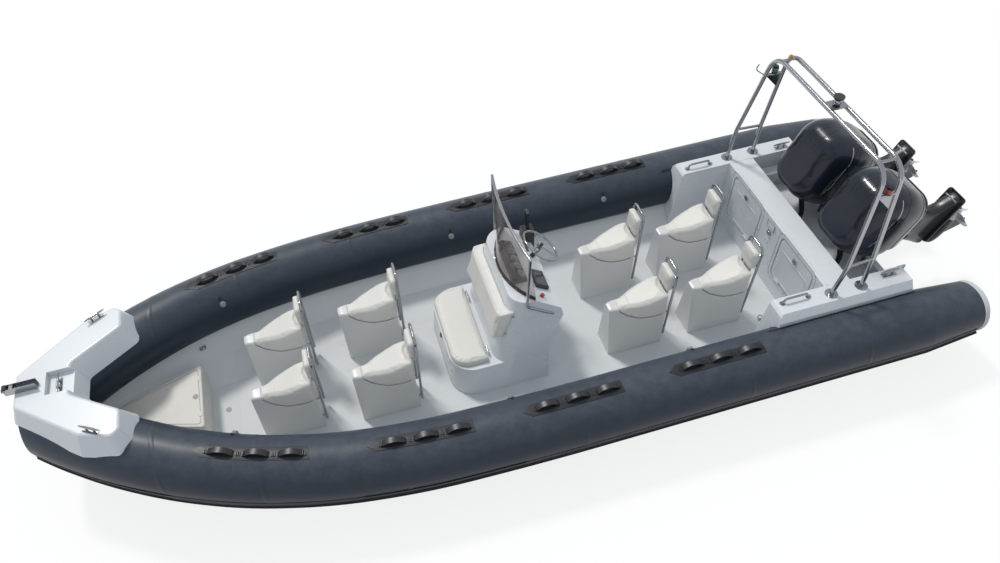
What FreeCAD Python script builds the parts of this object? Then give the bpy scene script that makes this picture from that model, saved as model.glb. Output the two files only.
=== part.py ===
import FreeCAD, Part
import math
import os
from types import SimpleNamespace

# Rigid-hulled inflatable boat with eight jockey seats, a centre console, a stern arch and twin
# outboard engines tilted up. X points to the bow, Y to port, Z up. The origin is at the waterline,
# on the centre plane, amidships. Lengths are millimetres and angles degrees.

Vector = FreeCAD.Vector
doc = FreeCAD.newDocument("RigidInflatableBoat")
sheet = doc.addObject("Spreadsheet::Sheet", "Sizes")

sizes = {
    # fits
    "seatGap": 0.3, "collarGap": 0.5, "runningGap": 0.08, "shutGap": 4, "tubeRadius": 12.5,
    # inflatable collar
    "collarRadius": 291, "collarHalfBeam": 1293, "collarHeight": 511, "collarAftEnd": -4260,
    "collarNose": 4245, "collarBendStart": -402, "collarBendReach": 4625, "collarBendInset": 1300,
    "collarRiseStart": -856, "collarRise": 255, "collarTaperLength": 560, "collarEndRadius": 246,
    "collarCapLength": 46, "collarCapDome": 30, "strakeProud": 24,
    # hand holds and valves on the collar
    "handleStripLength": 900, "handleStripWidth": 120, "handleStripThickness": 5,
    "handleLoopLength": 245, "handleLoopWidth": 50, "handleLoopRise": 60, "handleLoopThickness": 9,
    "handleTip": 80,
    "handleFirst": 2835, "handleSecond": 1463, "handleThird": 139, "handleFourth": -1193,
    "valveRadius": 26, "valveLength": 30,
    # hull
    "hullDraft": 360, "chineHalfBeam": 1040, "chineHeight": 60, "chineFlat": 34, "stemX": 4100,
    "keelRiseStart": 300, "keelRise": 900, "chineRise": 460, "stemHalfWidth": 10, "transomX": -3760,
    "transomThickness": 60, "transomTop": 600, "transomShoulder": 150, "transomBend": 90,
    # cockpit liner
    "floorHeight": 100, "linerThickness": 12, "bilgeRise": 50, "linerClearance": 70,
    "lockerX": 2865, "lockerTop": 450, "lockerHalfWidth": 385, "lockerNose": 3830,
    "lockerNoseHalfWidth": 60, "lockerSlope": 26,
    # stern moulding
    "sideDeckTop": 880, "sideDeckInner": 900, "sideDeckWidth": 180, "sideDeckLip": 50,
    "sideDeckLipDrop": 75, "sideDeckAft": -3700, "sideDeckFront": -2360, "sideDeckToe": -2270,
    "sideDeckBevel": 28, "bulkheadX": -2900, "bulkheadThickness": 30, "bandLength": 240,
    "wellSkin": 28, "wellFloor": 470, "wellLedge": 690, "wellLedgeWidth": 120,
    "hatchWidth": 540, "hatchHeight": 530, "hatchSill": 310, "hatchCentre": 472,
    "hatchThickness": 22, "hatchCorner": 60, "barrelRadius": 6, "barrelLength": 60,
    "barrelSpacing": 300, "latchRadius": 22, "latchProud": 5, "latchHeight": 763,
    "ventWidth": 110, "ventHeight": 74, "ventZ": 804, "ventProud": 7, "slatPitch": 16,
    "inletHeight": 50, "inletZ": 596,
    # rails, cleats and tow eyes
    "deckRailStart": -2440, "deckRailEnd": -2700, "deckRailY": 965, "deckRailRise": 52,
    "railRadius": 11, "flangeRadius": 26, "flangeThickness": 5,
    "cleatLength": 190, "cleatHeight": 46, "cleatRadius": 9, "cleatPostSpacing": 70,
    "cleatBaseWidth": 44, "sternCleatX": -3530, "sternCleatY": 960,
    "eyeBoreRadius": 13, "eyeOuterRadius": 30, "eyeThickness": 16, "eyeReach": 62,
    "sternEyeY": 780, "sternEyeZ": 330, "bowEyeZ": 300, "eyePlateWidth": 90, "eyePlateThickness": 8,
    # jockey seats
    "podLength": 551, "podBaseHalfWidth": 152, "podNoseHalfWidth": 59, "podHeight": 602,
    "seatHalfSpacing": 378, "bowSeatHalfSpacing": 317, "seatRowAft": -1854, "seatRowMid": -1000,
    "seatRowFore": 1472, "seatRowBow": 2381,
    "backTop": 990, "backHalfWidth": 115, "backTopX": -612, "backFootX": -584, "backFootZ": 92,
    "padLow": 730, "padTop": 938, "padThickness": 52, "padHalfWidth": 104, "padCorner": 34,
    "padNeckHalfWidth": 62, "padNeckThickness": 24, "padNeckLow": 625, "strutLow": 150,
    "strutHigh": 440, "strutRadius": 9,
    # console
    "consoleRear": -354, "consoleWaist": -376, "consoleWaistZ": 650, "consoleLip": -509,
    "consoleLipZ": 930, "consoleBrowX": -486, "consoleBrowZ": 1030, "dashFront": -250,
    "dashTop": 1200, "consoleBaseHalf": 573, "consoleTopHalf": 478,
    "towerFrontLow": 150, "towerFrontTop": -40, "towerCorner": 170, "boxFront": 570,
    "boxFrontTop": 552, "boxHalfLow": 588, "boxHalfTop": 522, "boxCorner": 240, "boxTop": 455,
    "boxWall": 40, "boxFloor": 130, "lidRear": 200, "lidFront": 545, "lidHalf": 472,
    "lidThickness": 62, "lidCorner": 195, "lidBarrelRadius": 8, "lidBarrelLength": 70,
    "lidBarrelSpacing": 700, "bolsterLow": 760, "bolsterTop": 1075, "bolsterHalf": 452,
    "bolsterThickness": 82, "screenSag": 205, "screenInset": 10, "screenThickness": 6, "sealHeight": 34,
    "sealThickness": 20, "screenRailRadius": 13, "screenRailZ": 1820, "screenRailX": -178,
    "screenRailHalf": 540, "screenRailBulge": 46, "screenKneeX": -165, "screenKneeZ": 1160,
    "screenFootX": -410, "screenFootZ": 985,
    "wheelX": -505, "wheelY": -140, "wheelZ": 1190, "wheelRadius": 190, "wheelRimRadius": 10,
    "wheelTilt": 52.3, "hubRadius": 34, "hubLength": 40, "columnRadius": 24, "knobRadius": 17,
    "knobRise": 46,
    "controlX": -455, "controlY": -395, "controlLength": 120, "controlWidth": 96,
    "controlHeight": 90, "controlTop": 1200, "leverRise": 205, "leverThickness": 16, "leverWidth": 34,
    "gaugeRadius": 40, "gaugeProud": 8, "screenUnitWidth": 210,
    "screenUnitHeight": 140, "screenUnitThickness": 30, "displayY": 190,
    "helmPodHalf": 240, "helmPodHeight": 86, "helmPodFront": -115, "gaugePitch": 94,
    # arch
    "archTubeRadius": 21, "archFootY": 1000, "archForeX": -2913, "archAftX": -3217,
    "archForeTopX": -3066, "archAftTopX": -3222, "archTopY": 862, "archTop": 2195,
    "archKneeZ": 1240, "archKneeForeX": -2957, "archKneeForeY": 1006,
    "archKneeAftY": 985, "archBend": 190, "archBarZ": 1950, "archBarRadius": 14, "archTopBarY": 750,
    "archFlangeRadius": 58, "archPlateThickness": 5, "navPlateDrop": 190, "mastPlateWidth": 130,
    "mastLightRadius": 30, "mastLightHeight": 72, "mastCapRadius": 48, "navLampRadius": 30,
    "navLampHeight": 62,
    # outboard engines
    "engineSpacing": 768, "engineTilt": 66, "tiltAxisX": -3750, "tiltAxisZ": 715,
    "steerOffset": 120, "cowlMiddle": 318, "cowlLength": 806, "cowlWidth": 640, "cowlHeight": 637,
    "cowlBase": 20, "cowlRoom": 112, "slotDepth": 12, "steerLock": 30,
    "apronDepth": 235, "roomRear": 108, "roomHalf": 59, "runningRoom": 5,
    "shaftRadius": 13, "bladeThickness": 10, "tiltPinRadius": 14, "plateDrop": 655,
    "legHalfWidth": 62, "plateLength": 560, "plateWidth": 230, "plateThickness": 12,
    "plateTail": 665, "propAxisDrop": 205,
    "gearcaseRadius": 60, "gearcaseNose": 30, "gearcaseTail": 372, "gearcaseCone": 150,
    "skegDrop": 172, "skegThickness": 16, "propRadius": 190, "hubRearRadius": 50,
    "propHubLength": 130, "kingpinRadius": 20, "housingRadius": 40,
    "housingBottom": 370, "lugThickness": 30, "lugRadius": 42, "tiltTubeRadius": 30,
    "swivelWeb": 44, "bracketRoom": 66,
    "clampY": 116, "clampThickness": 22, "clampReach": 92, "clampDepth": 330, "clampJaw": 24,
    "clampJawDepth": 98,
    # bow
    "bowPadTop": 1162, "bowPadTip": 4208, "bowPadTipHalf": 165, "bowPadShoulderX": 3980,
    "bowPadShoulderHalf": 350, "bowPadHipX": 3670, "bowPadHipHalf": 600, "bowPadElbowX": 3410,
    "bowPadArmOuter": 692, "bowPadArmX": 3348, "bowPadArmCorner": 640, "bowPadArmInner": 447,
    "bowPadInnerX": 3770, "bowPadInnerHalf": 163,
    "bowPadFlare": 62, "bowPadBend": 60, "recessLength": 190, "recessHalf": 120, "recessDepth": 60,
    "rollerX": 4262, "rollerZ": 1218, "rollerRadius": 26, "rollerLength": 50, "rollerBore": 6,
    "channelThickness": 5, "channelLength": 250, "channelRise": 16,
    "padCleatX": 3560, "padCleatY": 600, "padCleatTurn": -30, "bowEyeX": 3790, "bowEyeDip": 20,
}
for row, (alias, value) in enumerate(sizes.items(), start=1):
    sheet.set("A%d" % row, alias)
    sheet.set("B%d" % row, str(value))
    sheet.setAlias("B%d" % row, alias)
doc.recompute()
d = SimpleNamespace(**{alias: float(sheet.get(alias)) for alias in sizes})
overrun = 3 * d.collarRadius
origin = Vector(0, 0, 0)
alongX, alongY, alongZ = Vector(1, 0, 0), Vector(0, 1, 0), Vector(0, 0, 1)
whole = 360
pieces = []


def keep(label, shape):
    piece = doc.addObject("Part::Feature", label)
    piece.Shape = shape
    pieces.append(piece)
    return piece


def keepMirror(label, source):
    """Node that is another node's reflection in the centre plane."""
    piece = doc.addObject("Part::Mirroring", label)
    piece.Source = source
    piece.Normal = alongY
    pieces.append(piece)


def compound(shapes):
    return Part.makeCompound(list(shapes))


def mirrored(shape):
    return shape.mirror(origin, alongY)


def bothSides(shape):
    return compound([shape, mirrored(shape)])


def mirrorPoints(points):
    """Outline continued with the same points reflected in the first row's X axis."""
    return points + [(x, -y) for x, y in reversed(points) if y != 0]


def prism(points, direction):
    """Closed outline of points, pushed along a direction."""
    return Part.Face(Part.makePolygon(points + [points[0]])).extrude(direction)


def sideProfile(outline, low, high):
    """Outline of (x, z) points, from y = low to y = high."""
    return prism([Vector(x, low, z) for x, z in outline], Vector(0, high - low, 0))


def planProfile(outline, low, high):
    """Outline of (x, y) points, from z = low to z = high."""
    return prism([Vector(x, y, low) for x, y in outline], Vector(0, 0, high - low))


def block(x0, x1, y0, y1, z0, z1):
    return Part.makeBox(x1 - x0, y1 - y0, z1 - z0, Vector(x0, y0, z0))


def cornerArc(before, corner, after, bend):
    """Ends and middle of the arc that rounds a corner, as wide as bend or its runs allow."""
    back = (before - corner).normalize()
    ahead = (after - corner).normalize()
    halfAngle = back.getAngle(ahead) / 2
    reach = 0.48 * min(before.distanceToPoint(corner), after.distanceToPoint(corner))
    if bend:
        reach = min(reach, bend / math.tan(halfAngle))
    radius = reach * math.tan(halfAngle)
    inward = (back + ahead).normalize() * (radius / math.sin(halfAngle) - radius)
    return corner + back * reach, corner + inward, corner + ahead * reach


def bentPath(points, bend=0):
    """Straight runs joined by tangent arcs."""
    edges = []
    start = points[0]
    for before, corner, after in zip(points, points[1:], points[2:]):
        first, middle, last = cornerArc(before, corner, after, bend)
        edges.append(Part.LineSegment(start, first).toShape())
        edges.append(Part.Arc(first, middle, last).toShape())
        start = last
    edges.append(Part.LineSegment(start, points[-1]).toShape())
    return Part.Wire(edges)


def roundedWire(points, bends):
    """Closed outline with an arc at each corner; a bend of 0 means as wide as its sides allow."""
    arcs = [cornerArc(before, corner, after, bend) for before, corner, after, bend
            in zip(points[-1:] + points[:-1], points, points[1:] + points[:1], bends)]
    edges = []
    for (first, middle, last), (following, _, _) in zip(arcs, arcs[1:] + arcs[:1]):
        edges.append(Part.Arc(first, middle, last).toShape())
        edges.append(Part.LineSegment(last, following).toShape())
    return Part.Wire(edges)


def roundTube(points, radius, bend):
    path = bentPath(points, bend)
    ring = Part.Wire(Part.makeCircle(radius, points[0], points[1] - points[0]))
    return path.makePipeShell([ring], True, True)


def rod(start, end, radius):
    return Part.makeCylinder(radius, start.distanceToPoint(end), start, end - start)


def sweepUpright(path, profile):
    """Profile swept along a path with its own up direction held level."""
    sweep = Part.BRepOffsetAPI.MakePipeShell(path)
    sweep.setBiNormalMode(alongZ)
    sweep.add(profile)
    sweep.build()
    sweep.makeSolid()
    return sweep.shape()


def newBody(name):
    body = doc.addObject("PartDesign::Body", name)
    planes = {feature.Role: feature for feature in body.Origin.OriginFeatures}
    return body, planes


def newSketch(body, plane, name, curves):
    sketch = body.newObject("Sketcher::SketchObject", name)
    sketch.AttachmentSupport = [(plane, "")]
    sketch.MapMode = "FlatFace"
    sketch.addGeometry(curves)
    return sketch


def closedLines(points):
    """Sketch lines round an outline of (x, y) points."""
    corners = [Vector(x, y, 0) for x, y in points]
    return [Part.LineSegment(start, end) for start, end in zip(corners, corners[1:] + corners[:1])]


def circle(radius, x=0, y=0):
    return Part.Circle(Vector(x, y, 0), alongZ, radius)


def shapeOf(body, placement=FreeCAD.Placement()):
    """Copy of a body's finished shape at another placement."""
    doc.recompute()
    shape = body.Shape.copy()
    shape.Placement = placement.multiply(shape.Placement)
    return shape


# Collar centre line, as a formula along the boat
collarBendPower = 3.3047
collarRisePower = 5


def collarY(x):
    share = max(0, x - d.collarBendStart) / d.collarBendReach
    return d.collarHalfBeam - d.collarBendInset * share ** collarBendPower


def collarZ(x):
    share = (x - d.collarRiseStart) / (d.collarNose - d.collarRiseStart)
    share = min(1, max(0, share))
    return d.collarHeight + d.collarRise * math.sin(share * math.pi / 2) ** collarRisePower


def collarPoint(x):
    return Vector(x, collarY(x), collarZ(x))


def aroundCollar(x, radius, angle):
    """Point on the section at x, at an angle from outboard towards up."""
    return Vector(x, collarY(x) + radius * math.cos(angle), collarZ(x) + radius * math.sin(angle))


boatLength = d.collarNose - d.collarAftEnd
bendShares = (0.50, 0.62, 0.71, 0.79, 0.855, 0.91, 0.955, 0.985)
collarStations = [d.collarAftEnd + d.collarTaperLength]
collarStations += [d.collarAftEnd + boatLength * share for share in bendShares]
collarStations += [d.collarNose + d.collarRadius / 2]
collarPath = bentPath([collarPoint(x) for x in collarStations])
collarStart = collarPoint(collarStations[0])
noseBlock = block(d.collarNose, d.collarNose + overrun, -overrun, overrun, 0, 2 * overrun)
starboardHalf = block(0, d.collarNose + overrun, -2 * overrun, 0, 0, 2 * overrun)


def collarSolid(extra):
    """Port collar tube, with its radius grown by extra."""
    ring = Part.Wire(Part.makeCircle(d.collarRadius + extra, collarStart, alongX))
    tube = collarPath.makePipeShell([ring], True, True)
    taper = Part.makeCone(d.collarRadius + extra, d.collarEndRadius + extra, d.collarTaperLength,
                          collarStart, -alongX)
    return tube.fuse(taper).cut(starboardHalf).removeSplitter()


def bandWire(x, lowAngle, highAngle, inner, outer):
    """Section at x of a strip round the port collar, between two angles and two radii."""
    low, high = math.radians(lowAngle), math.radians(highAngle)
    middle = (low + high) / 2
    corners = [aroundCollar(x, inner, low), aroundCollar(x, outer, low),
               aroundCollar(x, outer, high), aroundCollar(x, inner, high)]
    outerArc = Part.Arc(corners[1], aroundCollar(x, outer, middle), corners[2]).toShape()
    innerArc = Part.Arc(corners[3], aroundCollar(x, inner, middle), corners[0]).toShape()
    sides = [Part.LineSegment(corners[0], corners[1]).toShape(),
             Part.LineSegment(corners[2], corners[3]).toShape()]
    return Part.Wire([sides[0], outerArc, sides[1], innerArc])


def collarBand(lowAngle, highAngle, inner, outer):
    """Strip that lies on the port collar between two angles, up to where the collar tapers."""
    profile = bandWire(collarStations[0], lowAngle, highAngle, inner, outer)
    return sweepUpright(collarPath, profile).cut(starboardHalf)


portCollar = collarSolid(0).cut(noseBlock)
collarSeat = collarSolid(d.collarGap)
bothSeats = [collarSeat, mirrored(collarSeat)]
keepMirror("collar_starboard", keep("collar_port", portCollar))


def collarEndCap():
    """Domed end cap, revolved about the collar's axis."""
    body, planes = newBody("endCapPattern")
    dome = d.collarEndRadius - d.collarCapDome
    outline = [(0, 0), (d.collarCapLength + d.collarCapDome, 0),
               (d.collarCapLength + d.collarCapDome, dome), (d.collarCapLength, d.collarEndRadius),
               (0, d.collarEndRadius)]
    turned = body.newObject("PartDesign::Revolution", "cap")
    capSketch = newSketch(body, planes["XZ_Plane"], "capSection", closedLines(outline))
    turned.Profile = capSketch
    turned.ReferenceAxis = (capSketch, ["H_Axis"])
    turned.Angle = whole
    body.Tip = turned
    return body


capPlace = FreeCAD.Placement(Vector(d.collarAftEnd, d.collarHalfBeam, d.collarHeight),
                             FreeCAD.Rotation(alongZ, 180))
keep("collar_end_caps", bothSides(shapeOf(collarEndCap(), capPlace)))

skin = d.collarRadius + d.collarGap
strakeAngles = (-62, -24)
endSkin = d.collarEndRadius + d.collarGap
strake = collarBand(*strakeAngles, skin, skin + d.strakeProud)
strakeTaper = Part.makeLoft([bandWire(collarStations[0], *strakeAngles, skin, skin + d.strakeProud),
                             bandWire(d.collarAftEnd, *strakeAngles, endSkin, endSkin + d.strakeProud)],
                            True, True)
strake = strake.fuse(strakeTaper).removeSplitter()
keep("rubbing_strakes", bothSides(strake.cut(noseBlock).cut(collarSeat)))

# Hand holds: a rubber strip with three arched loops, four strips to a side
stripHalfAngle = math.degrees(d.handleStripWidth / d.collarRadius / 2)
stripBand = collarBand(90 - stripHalfAngle, 90 + stripHalfAngle, skin,
                       skin + d.handleStripThickness)


def handleLoop(x):
    """Arched loop that stands on the top of the collar at x."""
    step = d.handleLoopWidth
    along = (collarPoint(x + step) - collarPoint(x - step)).normalize()
    rooted = 2 * d.handleLoopThickness
    top = collarPoint(x) + Vector(0, 0, skin - rooted)
    half = d.handleLoopLength / 2
    crown = Vector(0, 0, d.handleLoopRise + rooted)
    thick = Vector(0, 0, d.handleLoopThickness)
    inset = along * (2 * d.handleLoopThickness)
    left, right = top - along * half, top + along * half
    outer = Part.Arc(left, top + crown, right).toShape()
    inner = Part.Arc(right - inset, top + crown - thick, left + inset).toShape()
    ends = [Part.LineSegment(right, right - inset).toShape(),
            Part.LineSegment(left + inset, left).toShape()]
    face = Part.Face(Part.Wire([outer, ends[0], inner, ends[1]]))
    across = alongZ.cross(along).normalize() * d.handleLoopWidth
    face.translate(across * -0.5)
    return face.extrude(across)


def handleStrip(fore):
    strip = stripBand.common(block(fore - d.handleStripLength, fore, 0, 2 * overrun, 0, 2 * overrun))
    tip = collarPoint(fore)
    tip.z = 0
    aft = collarPoint(fore - d.handleTip) - collarPoint(fore)
    aft.z = 0
    across = alongZ.cross(aft).normalize() * d.handleStripWidth
    for side in (across, across * -1):
        corner = prism([tip, tip + side, tip + side + aft * 2], alongZ * 2 * overrun)
        strip = strip.cut(corner)
    pitch = (d.handleStripLength - d.handleTip) / 3
    loops = [handleLoop(fore - d.handleTip - pitch * (turn + 0.5)) for turn in range(3)]
    strip = strip.multiFuse(loops).cut(collarSeat)
    return max(strip.Solids, key=lambda solid: solid.Volume)


strips = [handleStrip(fore) for fore in (d.handleFirst, d.handleSecond, d.handleThird, d.handleFourth)]
keep("grab_handles", compound(strips + [mirrored(strip) for strip in strips]))


def inflationValve(x, angle):
    outward = Vector(0, math.cos(angle), math.sin(angle))
    foot = collarPoint(x) + outward * (skin - d.valveLength / 4)
    flange = Part.makeCylinder(d.valveRadius, d.valveLength / 2, foot, outward)
    knob = Part.makeCylinder(d.valveRadius * 0.7, d.valveLength, foot, outward)
    return flange.fuse(knob).cut(collarSeat)


valveShares = (0.32, 0.52, 0.80)
valveAngle = math.radians(150)
valves = [inflationValve(d.collarAftEnd + boatLength * share, valveAngle) for share in valveShares]
keep("inflation_valves", compound(valves + [mirrored(valve) for valve in valves]))

# Hull and cockpit liner are lofted through the same stations
hullShares = (0, 0.16, 0.34, 0.50, 0.60, 0.68, 0.75, 0.81, 0.865, 0.91, 0.96, 0.98, 1)
hullStations = [d.transomX + (d.stemX - d.transomX) * share for share in hullShares]
linerStations = hullStations[:-2]
jointAngle = math.radians(220)
tuckShare = 0.8
keelRisePower = 3.6
chineRisePower = 2.4


def bowShare(x):
    return max(0, x - d.keelRiseStart) / (d.stemX - d.keelRiseStart)


def hullLine(x):
    """Half section of the hull bottom, from under the collar down to the keel."""
    share = bowShare(x)
    side = aroundCollar(x, d.collarRadius * tuckShare, math.radians(240))
    keelZ = -d.hullDraft + d.keelRise * share ** keelRisePower
    chineZ = d.chineHeight + d.chineRise * share ** chineRisePower
    chineY = max(side.y * 0.45, collarY(x) - (d.collarHalfBeam - d.chineHalfBeam))
    keelZ = min(keelZ, chineZ - d.chineFlat)
    line = [(side.y, side.z), (chineY + d.chineFlat, chineZ), (chineY, chineZ), (0, keelZ)]
    leastShares = (3, 2, 1.2, 0)
    return [(max(d.stemHalfWidth * least, y), z) for least, (y, z) in zip(leastShares, line)]


def hullBottom(x, y):
    """Height of the hull bottom at half-breadth y."""
    _, _, (chineY, chineZ), (_, keelZ) = hullLine(x)
    return keelZ + (chineZ - keelZ) * min(1, y / chineY)


def linerLine(x, drop):
    """Half section of the cockpit liner, from the centre plane out into the collar."""
    joint = aroundCollar(x, d.collarRadius, jointAngle)
    tucked = aroundCollar(x, d.collarRadius * tuckShare, jointAngle)
    foldY, slopeY = joint.y * 0.424, joint.y * 0.80
    floor = max(d.floorHeight, hullBottom(x, foldY) + d.linerClearance)
    slope = max(floor + d.bilgeRise * 0.8, hullBottom(x, slopeY) + d.linerClearance)
    slope = min(slope, tucked.z - d.bilgeRise / 4)
    floor = min(floor, slope - d.bilgeRise / 4)
    line = [(0, floor), (foldY, floor), (slopeY, slope), (tucked.y, tucked.z)]
    leastShares = (0, 1, 2, 4)
    return [(max(d.stemHalfWidth * least, y), z - drop) for least, (y, z) in zip(leastShares, line)]


def station(x, half):
    """Closed section at x from a half section that starts and ends on the centre plane."""
    ring = [Vector(x, y, z) for y, z in half]
    ring += [Vector(x, -y, z) for y, z in reversed(half) if y > 0]
    return Part.makePolygon(ring + [ring[0]])


def lofted(halfSection, stations):
    return Part.makeLoft([station(x, halfSection(x)) for x in stations], True, True)


def hullSection(x):
    return linerLine(x, d.linerThickness) + hullLine(x)


def linerSection(x):
    return linerLine(x, 0) + list(reversed(linerLine(x, d.linerThickness)))


def openSection(x):
    line = linerLine(x, 0)
    high = d.archTop + overrun
    return line + [(line[-1][0], high), (0, high)]


openSpace = lofted(openSection, linerStations)


def onDeck(shape):
    """What of a shape stands above the liner and clear of the collar."""
    return shape.common(openSpace).cut(bothSeats)


def towEye(place):
    """Plate with a ringed eye, its bore along Y and its arm along X, at a placement."""
    body, planes = newBody("towEyePattern")
    plate = body.newObject("PartDesign::Pad", "eyePlate")
    half = d.eyePlateWidth / 2
    plate.Profile = newSketch(body, planes["YZ_Plane"], "plateOutline",
                              closedLines([(-half, -half), (half, -half), (half, half), (-half, half)]))
    plate.setExpression("Length", "Sizes.eyePlateThickness")
    arm = body.newObject("PartDesign::Pad", "eyeArm")
    reach = d.eyeReach
    arm.Profile = newSketch(body, planes["XZ_Plane"], "armOutline", closedLines(
        [(0, -d.eyeOuterRadius), (reach, -d.eyeOuterRadius), (reach, d.eyeOuterRadius),
         (0, d.eyeOuterRadius)]))
    arm.setExpression("Length", "Sizes.eyeThickness")
    arm.Midplane = True
    ring = body.newObject("PartDesign::Pad", "eyeRing")
    ring.Profile = newSketch(body, planes["XZ_Plane"], "ringOutline", [circle(d.eyeOuterRadius, reach)])
    ring.setExpression("Length", "Sizes.eyeThickness")
    ring.Midplane = True
    bore = body.newObject("PartDesign::Pocket", "eyeBore")
    bore.Profile = newSketch(body, planes["XZ_Plane"], "boreOutline", [circle(d.eyeBoreRadius, reach)])
    bore.setExpression("Length", "2 * Sizes.eyeThickness")
    bore.Midplane = True
    body.Tip = bore
    return shapeOf(body, place)


hull = lofted(hullSection, hullStations).cut(bothSeats)
keep("hull", hull)
keep("cockpit_liner", lofted(linerSection, linerStations).cut(bothSeats))


def lockerRing(z, inset):
    corners = [(d.lockerX, d.lockerHalfWidth - inset),
               (d.lockerNose - 2 * inset, d.lockerNoseHalfWidth)]
    ring = [Vector(x, y, z) for x, y in mirrorPoints(corners)]
    return roundedWire(ring, [d.lockerSlope] * len(ring))


locker = Part.makeLoft([lockerRing(d.floorHeight, 0), lockerRing(d.lockerTop, d.lockerSlope)], True)
lockerEdge = [edge for edge in locker.Edges if edge.BoundBox.ZMin > d.lockerTop - d.seatGap]
locker = locker.makeFillet(d.lockerSlope / 2, lockerEdge)
keep("bow_locker", onDeck(locker))

# Stern moulding: side decks, bulkhead with two hatches, splash well and transom
deckOuter = d.sideDeckInner + d.sideDeckWidth
lipZ = d.sideDeckTop - d.sideDeckLipDrop
deckSection = [(d.sideDeckInner, d.floorHeight), (d.sideDeckInner, d.sideDeckTop),
               (deckOuter, d.sideDeckTop), (deckOuter + d.sideDeckLip, lipZ),
               (deckOuter + d.sideDeckLip, d.collarHeight), (deckOuter, d.floorHeight)]
deckBar = prism([Vector(d.sideDeckToe, y, z) for y, z in deckSection],
                Vector(d.sideDeckAft - d.sideDeckToe, 0, 0))
deckFront = d.sideDeckFront - d.sideDeckBevel
deckSide = sideProfile([(d.sideDeckToe, d.floorHeight),
                        (d.sideDeckFront, d.sideDeckTop - d.sideDeckBevel),
                        (deckFront, d.sideDeckTop), (d.sideDeckAft, d.sideDeckTop),
                        (d.sideDeckAft, d.floorHeight)], 0, 2 * overrun)
aboveTube = block(d.sideDeckAft, d.sideDeckToe, d.sideDeckInner, 2 * overrun, d.collarHeight,
                  d.sideDeckTop)
sideDeck = deckBar.common(deckSide).common(openSpace.fuse(aboveTube)).cut(collarSeat)
keep("side_decks", bothSides(sideDeck))

bulkheadBack = d.bulkheadX - d.bulkheadThickness
wellFront = d.bulkheadX - d.bandLength
sternInner = d.sideDeckInner - d.seatGap
hatchTop = d.hatchSill + d.hatchHeight


def roundedPanel(name, width, height, corner, thickness):
    """Rounded panel as a body: a pad along X from the YZ plane, with four filleted edges."""
    body, planes = newBody(name)
    across, up = width / 2, height / 2
    panel = body.newObject("PartDesign::Pad", name + "Pad")
    panel.Profile = newSketch(body, planes["YZ_Plane"], name + "Outline", closedLines(
        [(-across, -up), (across, -up), (across, up), (-across, up)]))
    panel.Length = thickness
    doc.recompute()
    corners = body.newObject("PartDesign::Fillet", name + "Corners")
    corners.Base = (panel, ["Edge%d" % (number + 1) for number, edge in enumerate(panel.Shape.Edges)
                            if edge.BoundBox.XLength > thickness / 2])
    corners.Radius = corner
    body.Tip = corners
    return body


hatchMiddle = Vector(d.bulkheadX - d.hatchThickness, d.hatchCentre, (d.hatchSill + hatchTop) / 2)
panelBody = roundedPanel("hatchPanel", d.hatchWidth - 2 * d.shutGap, d.hatchHeight - 2 * d.shutGap,
                         d.hatchCorner, d.hatchThickness)
holeBody = roundedPanel("hatchHole", d.hatchWidth, d.hatchHeight, d.hatchCorner,
                        d.bulkheadThickness * 3)
hatchPanel = shapeOf(panelBody, FreeCAD.Placement(hatchMiddle, FreeCAD.Rotation()))
hatchHole = shapeOf(holeBody, FreeCAD.Placement(
    hatchMiddle - Vector(d.bulkheadThickness, 0, 0), FreeCAD.Rotation()))
latchCentre = Vector(d.bulkheadX, d.hatchCentre, d.latchHeight)
latch = Part.makeCylinder(d.latchRadius, d.latchProud, latchCentre, alongX)


def hinge(centre, radius, length):
    """Moving barrel with its bore along Y, and the fixed pin with two knuckles beside it."""
    half = length / 2
    pinRadius = radius / 2
    barrel = rod(centre - alongY * half, centre + alongY * half, radius)
    barrel = barrel.cut(rod(centre - alongY * half, centre + alongY * half,
                            pinRadius + d.runningGap))
    reach = half + 2 * radius
    fixed = [rod(centre - alongY * reach, centre + alongY * reach, pinRadius)]
    for side in (-1, 1):
        near = centre + alongY * (side * (half + d.collarGap))
        fixed.append(rod(near, centre + alongY * (side * reach), radius))
    return barrel, fixed


def hingeRow(x, z, middle, spacing, radius, length):
    """Two hinges on one axis: their barrels, and their fixed pins and knuckles."""
    pairs = [hinge(Vector(x, middle + side * spacing / 2, z), radius, length) for side in (-1, 1)]
    return [barrel for barrel, _ in pairs], [piece for _, fixed in pairs for piece in fixed]


hatchAxisX = d.bulkheadX + d.barrelRadius + d.collarGap
hatchAxisZ = d.hatchSill + d.barrelRadius
hatchBarrels, hatchPins = hingeRow(hatchAxisX, hatchAxisZ, d.hatchCentre, d.barrelSpacing,
                                   d.barrelRadius, d.barrelLength)
hatchLeaves = []
for side in (-1, 1):
    middle = d.hatchCentre + side * d.barrelSpacing / 2
    half = d.barrelLength / 2
    hatchLeaves.append(block(d.bulkheadX - d.hatchThickness / 2, hatchAxisX, middle - half,
                             middle + half, hatchAxisZ, hatchAxisZ + 3 * d.barrelRadius))
pinHole = [rod(Vector(hatchAxisX, 0, hatchAxisZ), Vector(hatchAxisX, 2 * d.hatchCentre, hatchAxisZ),
               d.barrelRadius / 2 + d.runningGap)]
hatchBody = hatchPanel.multiFuse(hatchBarrels + hatchLeaves + [latch]).cut(pinHole)
keepMirror("hatch_starboard", keep("hatch_port", hatchBody))
pinLeaf = 2 * d.barrelRadius - d.collarGap
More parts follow.
